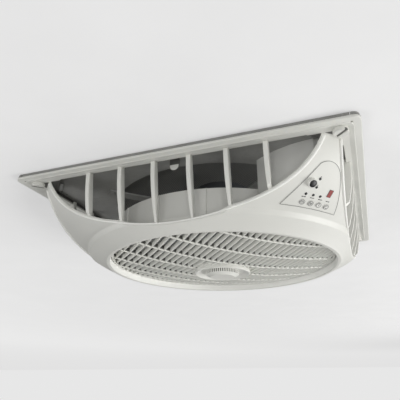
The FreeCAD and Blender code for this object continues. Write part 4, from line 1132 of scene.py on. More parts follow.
@dataclass
class Cowl(SubAssembly):
    """Bowl with four legs, cut by a leaning square column.

    Args:
        lip_radius: Outer radius of the lip.
        lip_z: Height of the lip's lower edge.
        lip_flat: How far the lip's flat edge runs out into the band.
        lip_rise: Height of that edge's outer end above the lip.
        lip_blend: Where the lip's rounding starts on the band.
        lip_rounds: Rounding of the flat edge's outer and inner ends.
        lip_high: Height of the lip's inner face.
        wall: Thickness of the wall.
        wall_z: Height that divides the inner wall.
        band_radius: Outer radius of the flat band.
        band_z: Height of the band's outer edge.
        step_radius: Radius where the bowl starts.
        step_z: Height where the bowl starts.
        step_round: Rounding of the step.
        step_lead: Length of the bowl's tangent that the rounding uses.
        leg_radius: Radius of the legs' tops.
        top_z: Height of the legs' tops.
        bulge: How far the bowl's arc stands off its chord.
        seat_z: Top of the inner wall behind the lip.
        column_half: Half side of the column at the legs' tops.
        column_draft: Lean of the column's sides in degrees.
        cut_inset: How far the edges' paths lie inside the column.
        sill_z: Lowest height of an intake's faired edge.
        sill_curve: Rise of that edge with the square of the offset.
        sill_reach: Offset where it runs out into the leg's edge.
        sill_sink: How far a sill reaches below the cut.
        sill_turn: Height above the cut where its face turns upright.
        sill_faces: Offsets of its foot, face and back from the column.
        roll_radius: Radius of the rolled edges.
        roll_heights: Heights between which the roll grows to that radius.
        roll_thin: Share of the radius at the lower height.
        skin: Thickness of the lighter skin on the lip's inner face, a painted highlight.
        post_inset: How far the screw posts stand in from the legs' tops.
        post: Outline of a post.
    """

    lip_radius: float = 232.0
    lip_z: float = -126.5
    lip_flat: float = 3.6
    lip_rise: float = 0.2
    lip_blend: float = 9.0
    lip_rounds: Point2 = (2.0, 1.3)
    lip_high: float = 8.0
    wall: float = 3.0
    wall_z: float = -112.0
    band_radius: float = 269.0
    band_z: float = -110.0
    step_radius: float = 274.2
    step_z: float = -102.0
    step_round: float = 5.0
    step_lead: float = 12.0
    leg_radius: float = 267.0 * math.sqrt(2.0) - 14.6
    top_z: float = -8.8
    bulge: float = 12.9
    seat_z: float = -98.0
    column_half: float = 267.0
    column_draft: float = 6.4
    cut_inset: float = 0.2
    sill_z: float = -113.0
    sill_curve: float = 0.00112
    sill_reach: float = 104.0
    sill_sink: float = 0.7
    sill_turn: float = 1.3
    sill_faces: Point3 = (-2.4, 0.12, -2.8)
    roll_radius: float = 2.4
    roll_heights: Point2 = (-112.0, -75.0)
    roll_thin: float = 0.5
    skin: float = 0.4
    post_inset: float = 25.0
    post: Tuple[Point2, ...] = ((2.1, -15.0), (3.9, -15.0), (4.4, -14.4), (4.4, -3.0), (2.1, -3.0))

    def leg_map(self) -> LegMap:
        """The bowl's arc as a map of the control leg.

        Returns:
            The map.
        """
        run, rise = self.leg_radius - self.step_radius, self.top_z - self.step_z
        chord = math.hypot(run, rise)
        radius = (chord * chord / 4.0 + self.bulge ** 2) / (2.0 * self.bulge)
        off = (radius - self.bulge) / chord
        return LegMap(radius, (self.step_radius + self.leg_radius) / 2.0 - off * rise,
                      (self.step_z + self.top_z) / 2.0 + off * run)

    def half(self, z: float) -> float:
        """Half side of the column at a height."""
        return self.column_half - (self.top_z - z) * math.tan(math.radians(self.column_draft))

    def slope(self) -> float:
        """Rise of the band's outer face per length outward."""
        return (self.band_z - self.lip_z) / (self.band_radius - self.lip_radius)

    def upright(self) -> float:
        """Thickness of the band's wall, measured upright."""
        return self.wall * math.hypot(1.0, self.slope())

    def outer(self, rows: int = 26, gap: float = 1.5) -> List[Point2]:
        """Outer face from the lip to the leg's top.

        Args:
            rows: Steps up the leg.
            gap: Height of the first row above the step.

        Returns:
            Points of radius and height.
        """
        bowl = self.leg_map()
        step = Vector((self.step_radius, self.step_z))
        along = Vector((bowl.centre_z - step.y, step.x - bowl.centre_r)).normalized() * self.step_lead
        corners = [(self.lip_radius, self.lip_z, 0.0), (self.band_radius, self.band_z, self.step_round),
                   (*step, self.step_round), (*(step + along), 0.0)]
        line = Forms.rounded(corners, closed=False, steps=6)[:-1]
        return line + [(bowl.bowl_r(z), z) for z in span(line[-1][1] + gap, self.top_z, rows)]

    def inner(self, rows: int = 30) -> List[Point2]:
        """Inner face from the lip's back to the leg's top.

        Args:
            rows: Steps up the leg.

        Returns:
            Points of radius and height.
        """
        bowl, rise = self.leg_map(), self.upright()
        line = [(self.lip_radius, self.lip_z + rise), (self.band_radius - self.wall, self.band_z + rise)]
        return line + [(bowl.bowl_r(z, -self.wall), z) for z in span(self.step_z + self.wall, self.top_z, rows)]

    def split(self, line: Sequence[Point2]) -> Tuple[List[Point2], List[Point2]]:
        """Divide a face's line where the column first cuts it.

        Args:
            line: Points from the lip up to the leg's top.

        Returns:
            The whole ring below the cut, and the legs from the cut upward.
        """
        for index in range(len(line) - 1):
            here, there = (r - self.half(z) for r, z in line[index:index + 2])
            if here < 0 <= there:
                cut = between(line[index], line[index + 1], here / (here - there))
                return list(line[:index + 1]), [cut] + list(line[index + 1:])
        raise ValueError("the column doesn't cut this face")

    @staticmethod
    def spread(line: Sequence[Point2], count: int) -> List[Point2]:
        """Points at equal steps along a line.

        Args:
            line: Points of the line.
            count: Number of new points.

        Returns:
            The new points.
        """
        lengths = [0.0]
        for here, there in zip(line, line[1:]):
            lengths.append(lengths[-1] + math.dist(here, there))
        made, index = [], 0
        for goal in span(0.0, lengths[-1], count - 1):
            while index < len(line) - 2 and lengths[index + 1] < goal:
                index += 1
            share = (goal - lengths[index]) / (lengths[index + 1] - lengths[index])
            made.append(between(line[index], line[index + 1], share))
        return made

    def legs(self, fill: int = 6) -> Tuple[List[Point2], List[Point2], List[Point2], List[Point2]]:
        """Outer ring and legs and inner ring and legs of the bowl, with close rows above the cut.

        Args:
            fill: Rows that share the first step above the cut.

        Returns:
            The four lines, both legs with as many points.
        """
        outer_ring, outer = self.split(self.outer())
        inner_ring, inner = self.split(self.inner())
        outer, inner = ([between(line[0], line[1], (step / fill) ** 2) for step in range(fill)] + list(line[1:])
                        for line in (outer, self.spread(inner, len(outer))))
        return outer_ring, outer, inner_ring, inner

    def shell(self, columns: int = 56) -> Mesh:
        """Bowl, step, band and lip as one closed shell.

        Args:
            columns: Faces across each side.

        Returns:
            The shell's mesh.
        """
        outer_ring, outer_legs, inner_ring, inner_legs = self.legs()
        lip_in = self.lip_radius - self.wall
        lip = Forms.rounded([(self.lip_radius + self.lip_blend, self.lip_z + self.lip_blend * self.slope(), 0.0),
                             (self.lip_radius + self.lip_flat, self.lip_z + self.lip_rise, self.lip_rounds[0]),
                             (lip_in, self.lip_z, self.lip_rounds[1]), (lip_in, self.lip_z + self.lip_high, 0.0)],
                            closed=False)
        wall = [(lip_in, self.wall_z), (lip_in, self.seat_z), (self.lip_radius, self.seat_z)]
        rows = outer_legs[::-1] + outer_ring[:0:-1] + lip + wall + inner_ring + inner_legs
        points: List[Point3] = []
        faces: Faces = []
        count, width = len(rows), columns + 1
        for sector in range(4):
            base = len(points)
            for r, z in rows:
                spare = math.acos(min(1.0, self.half(z) / r))
                angles = span(spare + sector * QUARTER, (sector + 1) * QUARTER - spare, columns)
                points += [(r * math.cos(angle), r * math.sin(angle), z) for angle in angles]
            for row in range(count):
                here, there = base + row * width, base + (row + 1) % count * width
                faces += [(here + i, here + i + 1, there + i + 1, there + i) for i in range(columns)]
            for step in range(len(outer_legs) - 1):
                sides = (step, step + 1, count - 2 - step, count - 1 - step)
                faces += [tuple(base + row * width + column for row in sides) for column in (0, columns)]
        return Forms.mesh("cowl_shell", points, faces, weld=0.01)

    def cut_line(self) -> List[Point3]:
        """Cut edge of a leg on the +X side, from the side's middle up.

        Returns:
            Points of the edge.
        """
        line = []
        for r, z in self.legs()[1]:
            half = self.half(z) - self.cut_inset
            line.append((half, math.sqrt(max(0.0, r * r - half * half)), z))
        return line[:-1]

    def sill(self, count: int = 52) -> List[Point3]:
        """Heights along the low part of an intake's edge.

        Args:
            count: Steps along it.

        Returns:
            Offset, cut height and smoothed height at each step.
        """
        line = self.cut_line()
        made = []
        for y in span(0.0, self.sill_reach, count):
            index = max([0] + [i for i in range(len(line) - 1) if line[i][1] <= y])
            (_, y0, z0), (_, y1, z1) = line[index], line[index + 1]
            cut = z0 + (z1 - z0) * max(0.0, y - y0) / (y1 - y0)
            made.append((y, cut, max(cut, self.sill_z + self.sill_curve * y * y)))
        return made

    def sill_strip(self, cap: float = 0.05, least: float = 0.15) -> Mesh:
        """Upstand that fairs the low edge of the +X intake.

        Args:
            cap: How far it stands above the smoothed edge.
            least: Least height of its upright face.

        Returns:
            The upstand's mesh.
        """
        side = self.sill()
        foot, face, back = self.sill_faces
        rings = []
        for y, cut, top in [(-y, cut, top) for y, cut, top in side[:0:-1]] + side:
            low, high = cut - self.sill_sink, top + cap
            turn = min(cut + self.sill_turn, high - least)
            section = ((foot, low), (face, turn), (face, high), (back, high), (back, low))
            rings.append([(self.half(z) + off, y, z) for off, z in section])
        return Forms.shaded(Forms.loft("intake_sill", rings))

    def edges(self, gap: float = 0.5) -> Mesh:
        """Paths along the legs' cut edges and the faired sills, one round each intake.

        Args:
            gap: Room between the sill's end and the next point.

        Returns:
            The paths as a mesh of edges.
        """
        line = [(self.half(top) - self.cut_inset, y, top) for y, _, top in self.sill()]
        line += [point for point in self.cut_line() if point[1] > self.sill_reach + gap]
        whole = [(x, -y, z) for x, y, z in line[:0:-1]] + line
        points, edges = [], []
        for quarter in range(4):
            turn = Matrix.Rotation(QUARTER * quarter, 3, "Z")
            edges += [(len(points) + i, len(points) + i + 1) for i in range(len(whole) - 1)]
            points += [turn @ Vector(p) * MM for p in whole]
        made = bpy.data.meshes.new("edge_paths")
        made.from_pydata(points, edges, [])
        return made

    def lip_wall(self, inset: float = 0.05, drop: float = 6.0) -> Mesh:
        """Skin on the inner face of the lip, lighter than the body as a painted highlight.

        Args:
            inset: How far it is set into the lip.
            drop: How far below the seat it ends.

        Returns:
            The skin's mesh.
        """
        outer = self.lip_radius - self.wall + inset
        low, high = self.lip_z + self.lip_rounds[1], self.seat_z - drop
        inner = outer - self.skin
        return Forms.turned("lip_wall", [(outer, low), (outer, high), (inner, high), (inner, low + self.skin)], 192)

    def screw_post(self) -> Mesh:
        """One screw post along +X."""
        place = Matrix.Translation(((self.leg_radius - self.post_inset) * MM, 0.0, 0.0))
        return Forms.shaded(Forms.moved(Forms.lathe("post", self.post, 32), place), 35.0)

    def build(self) -> None:
        """Make the shell, its edges and the posts inside its legs."""
        self.place("cowl_shell", Forms.shaded(self.shell(), 28.0), Paint.BODY, "body_plastic", stands_for=["cowl"])
        low, high = self.roll_heights
        values = {"Radius": self.roll_radius * MM, "Sides": 12, "Low": low * MM, "High": high * MM,
                  "Thin": self.roll_thin}
        rolls = Arrays.run("intake_edges", Arrays.roll(), self.edges(), Paint.EDGE_HIGHLIGHT, values)
        # The rolled edges are painted lighter than the body: a painted highlight.
        self.place("intake_edges", Forms.shaded(rolls, 60.0), Paint.EDGE_HIGHLIGHT, "body_plastic")
        sills = Arrays.ringed("intake_sills", self.sill_strip(), Paint.BODY)
        self.place("intake_sills", sills, Paint.BODY, "body_plastic")
        # The lip's skin is a painted highlight.
        self.place("lip_wall", self.lip_wall(), Paint.LIP_HIGHLIGHT, "body_plastic")
        posts = Arrays.ringed("cowl_posts", self.screw_post(), Paint.DECK, start=45.0)
        self.place("cowl_posts", posts, Paint.DECK, "deck_steel")


@dataclass
class IntakeGuard(SubAssembly):
    """Upright ribs across the four intakes.

    Args:
        count: Ribs on each side.
        pitch: Distance between ribs.
        shift: How far the row stands off the side's middle.
        head: Distance of the ribs' outer faces from the axis at the top.
        neck: Distance of the necks' outer faces, inside the frame's opening.
        inner: Distance of the ribs' inner faces at the top.
        bow: Radius of the bowed outer face.
        draft: Lean of the inner face in degrees.
        widths: Width at each height, from the neck's top to the foot.
        edge: Rounding of the ribs' long edges.
        edge_most: Greatest rounding, as a share of half the width.
        edge_back: Rounding of the inner edges, as a share of the outer.
        heads: Heights of the rings between neck and face, with their insets from the head.
        bowl_from: Radius where the feet pass from the band to the bowl.
        sink: How far the feet sink into the cowl.
    """

    count: int = 6
    pitch: float = 62.8
    shift: float = 1.6
    head: float = 276.0
    neck: float = 269.0
    inner: float = 265.0
    bow: float = 250.0
    draft: float = 9.2
    widths: Tuple[Point2, ...] = ((-3.0, 7.6), (-8.8, 7.6), (-60.0, 6.8), (-126.5, 3.6))
    edge: float = 1.1
    edge_most: float = 0.6
    edge_back: float = 0.5
    heads: Tuple[Point2, ...] = ((-8.9, 7.0), (-8.95, 0.9), (-9.4, 0.1))
    bowl_from: float = 268.2
    sink: float = 0.5

    def width(self, z: float) -> float:
        """Width of a rib at a height.

        Args:
            z: The height.

        Returns:
            The width.
        """
        for (high, wide), (low, narrow) in zip(self.widths, self.widths[1:]):
            if z >= low:
                return wide + (narrow - wide) * (high - z) / (high - low)
        return self.widths[-1][1]

    def ring(self, z: float, outer: float) -> List[Point3]:
        """Rounded cross-section of a rib at a height.

        Args:
            z: The height.
            outer: Distance of the outer face from the axis.

        Returns:
            Points of the section.
        """
        half = self.width(z) / 2.0
        inner = self.inner - max(0.0, self.widths[1][0] - z) * math.tan(math.radians(self.draft))
        edge = min(self.edge, half * self.edge_most)
        back = edge * self.edge_back
        corners = [(half, -outer, edge), (half, -inner, back), (-half, -inner, back), (-half, -outer, edge)]
        return [(x, y, z) for x, y in Forms.rounded(corners, steps=3)]

    def rib(self, steps: int = 44) -> Mesh:
        """One rib at the middle of the near side, run on past the cowl's face.

        Args:
            steps: Sections below the head.

        Returns:
            The rib's mesh.
        """
        top, face, foot = self.widths[0][0], self.widths[1][0], self.widths[-1][0]
        rings = [self.ring(top, self.neck)] + [self.ring(z, self.head - inset) for z, inset in self.heads]
        for z in span(self.heads[-1][0], foot, steps)[1:]:
            sweep = self.bow - math.sqrt(self.bow ** 2 - (z - face) ** 2)
            rings.append(self.ring(z, self.head - sweep))
        return Forms.loft("guard_rib", rings)

    def build(self, cowl: Cowl) -> None:
        """Array the rib over the four sides, its feet on the cowl.

        Args:
            cowl: The cowl that they stand on.
        """
        bowl = cowl.leg_map()
        rise, run = cowl.band_z - cowl.lip_z, cowl.band_radius - cowl.wall - cowl.lip_radius
        lengths = {"First": self.shift - self.pitch * (self.count - 1) / 2.0, "Pitch": self.pitch,
                   "Band Radius": cowl.lip_radius, "Band Height": cowl.lip_z + cowl.upright(),
                   "Bowl From": self.bowl_from, "Bowl Radius": bowl.radius - cowl.wall,
                   "Bowl Centre": bowl.centre_r, "Bowl Height": bowl.centre_z, "Sink": self.sink}
        values = {"Count": self.count, "Band Slope": rise / run, **{key: size * MM for key, size in lengths.items()}}
        ribs = Forms.shaded(Arrays.run("intake_guard", Arrays.guard(), self.rib(), Paint.RIBS, values))
        self.place("intake_guard", ribs, Paint.RIBS, "body_plastic", stands_for=["intake_ribs"])


@dataclass
class CeilingFrame(SubAssembly):
    """Square flange under the ceiling with its foam strips and corner screws.

    Args:
        half: Half side of the frame.
        corner: Radius of its corners.
        rim: Width of the lower outer rim.
        bead: Width of the bead at the rim's step.
        crest: How far the bead stands off the rim.
        ramp: Width of the slope from the bead's crest in to the flange.
        root: How far the bead reaches up into the flange.
        face_z: Height of the flange's lower face.
        rim_z: Height of the rim's lower face.
        sink: How far the bead is set into the rim.
    """

    half: float = 297.5
    corner: float = 12.0
    rim: float = 11.5
    bead: float = 1.8
    crest: float = 0.9
    ramp: float = 7.0
    root: float = 1.2
    face_z: float = -8.8
    rim_z: float = -9.6
    sink: float = 0.1

    def bead_line(self) -> Mesh:
        """Half-round bead that runs along the rim's step.

        Returns:
            The bead's mesh.
        """
        middle = self.half - self.rim
        track = Forms.rounded([(x * middle, y * middle, self.corner) for x, y in SQUARE], steps=8)
        section = [(self.bead / 2.0 * math.cos(a), -self.crest * math.sin(a)) for a in span(0.0, QUARTER, 5)]
        section += [(-self.ramp, self.face_z - self.rim_z - self.sink), (-self.ramp, self.root),
                    (self.bead / 2.0, self.root)]
        points: List[Point3] = []
        count = len(track)
        for index, (x, y) in enumerate(track):
            side = (Vector(track[(index + 1) % count]) - Vector(track[index - 1])).normalized()
            outward = Vector((side.y, -side.x))
            if outward.dot(Vector((x, y))) < 0:
                outward = -outward
            points += [(x + outward.x * s, y + outward.y * s, self.rim_z + self.sink + d) for s, d in section]
        return Forms.mesh("rim_bead", points, Forms.skin(count, len(section), True))

    def build(self) -> None:
        """Dress the flange, its bead, the foam and the corner screws."""
        self.soften(("ceiling_frame", Paint.FRAME, "body_plastic", 0.5))
        self.place("rim_bead", Forms.shaded(self.bead_line(), 60.0), Paint.FRAME, "body_plastic")
        self.soften(("ceiling_gasket", Paint.FOAM, "gasket_foam", 0.8))
        for name in (f"corner_screw_{number}" for number in range(1, 5)):
            self.soften((name, Paint.SCREW_HEAD, "corner_screw_plastic", 0.35), body=name)


@dataclass
class DeckAndDome(SubAssembly):
    """Sheet deck with the mesh dome, hangers and fasteners above the ceiling.

    Args:
        mouth: Inner radius of the dome's mouth.
        rise: Height of the dome inside.
        sheet: Thickness of the dome.
        flange: Outer radius of its flange.
        ease: Easing of the flange's edge.
        seat: Height of the deck's top.
        head: Radius of a screw's head.
        head_high: Height of a screw's head.
        shank: Radius of a screw's shank.
        head_line: Outline of a screw's head, as shares of its radius and height.
        cross: Shares of the head's height and radius that bound its cross, and half the angle of an arm.
        recess: Depth of the cross.
        rings: Screws by the node that they stand for: number, radius of the ring, height under the heads,
            length of the shanks, direction of the first in degrees and turn of the heads in degrees.
        pad_half: Half width of the tether tab's pad.
        pad_end: Height of its lowest point.
        pad_face: Distance of the tab's near face from the axis.
    """

    mouth: float = 226.5
    rise: float = 78.0
    sheet: float = 1.2
    flange: float = 244.7
    ease: float = 0.3
    seat: float = 2.0
    head: float = 3.8
    head_high: float = 2.4
    shank: float = 2.0
    head_line: Tuple[Point2, ...] = ((1.0, 0.0), (1.0, 0.45), (0.86, 0.8), (0.6, 0.97), (0.5, 1.0), (0.0, 1.0))
    cross: Point3 = (0.98, 0.55, 0.2)
    recess: float = 0.9
    rings: Tuple[Tuple[str, int, float, float, float, float, float], ...] = (
        ("dome_screw", 8, 236.2, 3.2, 3.2, 0.0, 0.0), ("cowl_screw", 4, 338.0, 2.0, 15.0, 45.0, 0.0),
        ("spider_screw", 4, 224.25, -101.0, 6.0, 45.0, 180.0), ("motor_screw", 4, 64.0, 3.0, 6.0, 45.0, 0.0))
    pad_half: float = 7.9
    pad_end: float = -21.4
    pad_face: float = 255.0

    def cap(self, mouth: float, low: float, radii: Sequence[float]) -> List[Point2]:
        """Line of a cap that stands on its mouth at a height.

        Args:
            mouth: Radius of the mouth.
            low: Height of the mouth.
            radii: Radii of the points.

        Returns:
            Points of radius and height.
        """
        sphere = (self.mouth ** 2 + self.rise ** 2) / (2.0 * self.rise)
        foot = math.sqrt(sphere ** 2 - mouth * mouth)
        return [(r, low + math.sqrt(sphere ** 2 - r * r) - foot) for r in radii]

    def dome(self, steps: int = 26) -> Mesh:
        """Sheet cap with a flange.

        Args:
            steps: Steps from mouth to crown.

        Returns:
            The dome's mesh.
        """
        outside, top = self.mouth + self.sheet, self.seat + self.sheet
        line = self.cap(self.mouth, self.seat, span(self.mouth, 0.0, steps))
        line += self.cap(outside, top, span(0.0, outside, steps))
        line += [(self.flange - self.ease, top), (self.flange, top - self.ease), (self.flange, self.seat)]
        return Forms.turned("dome_cap", line, 120)

    def pan_screw(self, length: float) -> Mesh:
        """Pan-head screw on z = 0 with a cross recess in its head.

        Args:
            length: Length of the shank.

        Returns:
            The screw's mesh.
        """
        head, high = self.head, self.head_high
        from_z, to_r, half_arm = self.cross
        profile = [(0.0, -length), (self.shank, -length), (self.shank, 0.0)]
        profile += [(head * r, high * z) for r, z in self.head_line]
        body = Forms.lathe("screw", profile, 24)
        with Forms.work(body, body) as edit:
            for vert in edit.verts:
                r, angle = math.hypot(vert.co.x, vert.co.y), math.atan2(vert.co.y, vert.co.x)
                arm = abs((angle + QUARTER / 2.0) % QUARTER - QUARTER / 2.0)
                if vert.co.z > high * from_z * MM and r < head * to_r * MM and (r < 1e-7 or arm < half_arm):
                    vert.co.z -= self.recess * MM
        return Forms.shaded(body)

    def screws(self) -> None:
        """Make the rings of screws."""
        for name, count, radius, seat, length, start, flip in self.rings:
            place = Matrix.Translation((0.0, 0.0, seat * MM)) @ Matrix.Rotation(math.radians(flip), 4, "X")
            screw = Forms.moved(self.pan_screw(length), place)
            ring = Arrays.ringed(name + "_ring", screw, Paint.FASTENER, count, radius, start)
            self.place(name + "_ring", ring, Paint.FASTENER, "fastener_steel", stands_for=[name + "s"])

    def tab_pad(self, tail: float = 2.0, sink: float = 0.02, thick: float = 0.7) -> Mesh:
        """Half-round pad on the tether tab's end, pale as a painted highlight where light catches the end.

        Args:
            tail: Height of its straight sides.
            sink: How far it sinks into the tab.
            thick: How far it stands off the tab.

        Returns:
            The pad's mesh.
        """
        half, middle = self.pad_half, self.pad_end + self.pad_half
        outline = [(half * math.cos(a), middle - half * math.sin(a)) for a in span(0.0, math.pi, 20)]
        outline += [(-half, middle + tail), (half, middle + tail)]
        pad = Forms.prism("tab_pad", outline, self.pad_face - sink, self.pad_face + thick)
        return Forms.shaded(Forms.moved(pad, Matrix.Rotation(QUARTER, 4, "X")), 50.0, 0.3)

    def build(self) -> None:
        """Dress the deck, dome, hangers and all screws."""
        self.soften(("deck_plate", Paint.DECK, "deck_steel", 0.25))
        self.place("dome_cap", self.dome(), Paint.DOME, "dome_black", stands_for=["dome_cover"])
        self.screws()
        self.soften(("hanger_brackets", Paint.BRACKET, "bracket_steel", 0.4),
                    ("hanger_rivets", Paint.FASTENER, "fastener_steel", 0.45),
                    ("tether_tab", Paint.TAB_SHADE, "tab_steel", 0.5))
        # The pale pad is a painted highlight on the tab's end.
        self.place("tab_pad", self.tab_pad(), Paint.PAD_HIGHLIGHT, "tab_steel")
        self.soften(("cable_gland", Paint.GLAND, "gland_plastic", 0.5))


@dataclass
class DuctAndSpider(SubAssembly):
    """Round duct with fine upright ribs, and the fixed cross below the blades.

    Args:
        radius: Outer radius of the duct.
        bore: Inner radius of the duct.
        low: Height of its seat.
        high: Height of its top.
        flange: Radius of the foot flange.
        foot: Thickness of the foot flange.
        rounds: Rounding of the flange's edge, of the corner above it and of the top.
        ribs: Number of upright ribs.
        rib_half: Half width of a rib.
        rib_out: How far a rib stands off the duct.
        rib_root: How far it reaches into the duct.
        rib_edge: Rounding of its edges.
        rib_ends: How far it sinks into the flange, and ends below the top.
    """

    radius: float = 222.0
    bore: float = 219.5
    low: float = -98.0
    high: float = -45.0
    flange: float = 232.0
    foot: float = 3.0
    rounds: Point3 = (0.4, 1.0, 0.8)
    ribs: int = 16
    rib_half: float = 0.7
    rib_out: float = 2.0
    rib_root: float = 0.5
    rib_edge: float = 0.5
    rib_ends: Point2 = (0.1, 0.6)

    def build(self) -> None:
        """Make the duct and dress the spider and the gear motor."""
        foot = self.low + self.foot
        edge, corner, top = self.rounds
        profile = Forms.rounded([(self.bore, self.low, 0.0), (self.flange, self.low, edge), (self.flange, foot, edge),
                                 (self.radius, foot, corner), (self.radius, self.high, top),
                                 (self.bore, self.high, top)], steps=3)
        wall = Forms.turned("duct_wall", profile, 144)
        root, out, half = self.radius - self.rib_root, self.radius + self.rib_out, self.rib_half
        outline = Forms.rounded([(root, -half, 0.0), (out, -half, self.rib_edge), (out, half, self.rib_edge),
                                 (root, half, 0.0)], steps=2)
        sink, gap = self.rib_ends
        rib = Forms.shaded(Forms.prism("duct_rib", outline, foot - sink, self.high - gap), 50.0)
        ribs = Arrays.ringed("duct_ribs", rib, Paint.DUCT, self.ribs, start=180.0 / self.ribs)
        self.place("duct_wall", Forms.joined("duct_wall", wall, ribs), Paint.DUCT, "duct_plastic",
                   stands_for=["duct_ring"])
        self.soften(("grille_spider", Paint.DUCT, "duct_plastic", 0.4),
                    ("louver_motor", Paint.MOTOR, "motor_cast", 0.8))


@dataclass
class Rotor(SubAssembly):
    """Blades, hub and the turning parts of the motor.

    Args:
        count: Number of blades.
        root: Radius, chord and pitch in degrees of the blades' roots.
        tip: Radius, chord and pitch in degrees of their tips.
        middle: Height of the blades' middle.
        thick: Greatest thickness of a blade.
        camber: How far its middle line is hollowed.
        tip_from: Share of the length where the tip's rounding starts.
        tip_loss: Share of the squared chord that the tip loses.
    """

    count: int = 5
    root: Point3 = (41.5, 66.0, 36.0)
    tip: Point3 = (205.0, 104.0, 20.0)
    middle: float = -64.0
    thick: float = 2.5
    camber: float = 1.6
    tip_from: float = 0.9
    tip_loss: float = 0.22

    def blade(self, stations: int = 16, steps: int = 24) -> Mesh:
        """One twisted blade along +X with thin, rounded edges.

        Args:
            stations: Steps along the blade.
            steps: Points round it.

        Returns:
            The blade's mesh.
        """
        rings = []
        for share in span(0.0, 1.0, stations):
            radius, chord, pitch = between(self.root, self.tip, share)
            end = max(0.0, (share - self.tip_from) / (1.0 - self.tip_from))
            chord *= math.sqrt(1.0 - end ** 2 * self.tip_loss)
            cosine, sine = math.cos(math.radians(pitch)), math.sin(math.radians(pitch))
            ring = []
            for angle in span(0.0, 2.0 * math.pi, steps)[:-1]:
                along = math.cos(angle) * chord / 2.0
                up = self.thick / 2.0 * math.sin(angle) - self.camber * (1.0 - math.cos(angle) ** 2)
                y = along * cosine - up * sine
                ring.append((math.sqrt(max(1.0, radius ** 2 - y * y)), y, self.middle + along * sine + up * cosine))
            rings.append(ring)
        return Forms.shaded(Forms.loft("blade", rings), 60.0)

    def build(self) -> None:
        """Make the blades and dress the hub, nut, shaft and core."""
        blades = Arrays.ringed("blade_set", self.blade(), Paint.BLADE, self.count)
        self.place("blade_set", blades, Paint.BLADE, "blade_plastic", ROTOR, ["fan_blades"])
        self.soften(("blade_hub", Paint.BLADE, "blade_plastic", 0.7),
                    ("blade_nut", Paint.FASTENER, "fastener_steel", 0.5),
                    ("rotor_shaft", Paint.BEARING, "bearing_steel", 0.6),
                    ("rotor_core", Paint.IRON, "core_iron", 0.4), body=ROTOR)


@dataclass
class Motor(SubAssembly):
    """Fixed parts of the motor and its bracket.

    Args:
        edge: Width of the rounded edges.
        thin: Width of those of thin parts.
    """

    edge: float = 0.6
    thin: float = 0.3

    def build(self) -> None:
        """Dress the housing, cap, bearings, core and bracket."""
        self.soften(("motor_bracket", Paint.DECK, "bracket_steel", self.thin),
                    ("motor_housing", Paint.MOTOR, "motor_cast", self.edge),
                    ("motor_end_cap", Paint.MOTOR, "motor_cast", self.edge),
                    ("stator_core", Paint.IRON, "core_iron", self.thin),
                    ("upper_bearing", Paint.BEARING, "bearing_steel", self.edge),
                    ("lower_bearing", Paint.BEARING, "bearing_steel", self.edge))


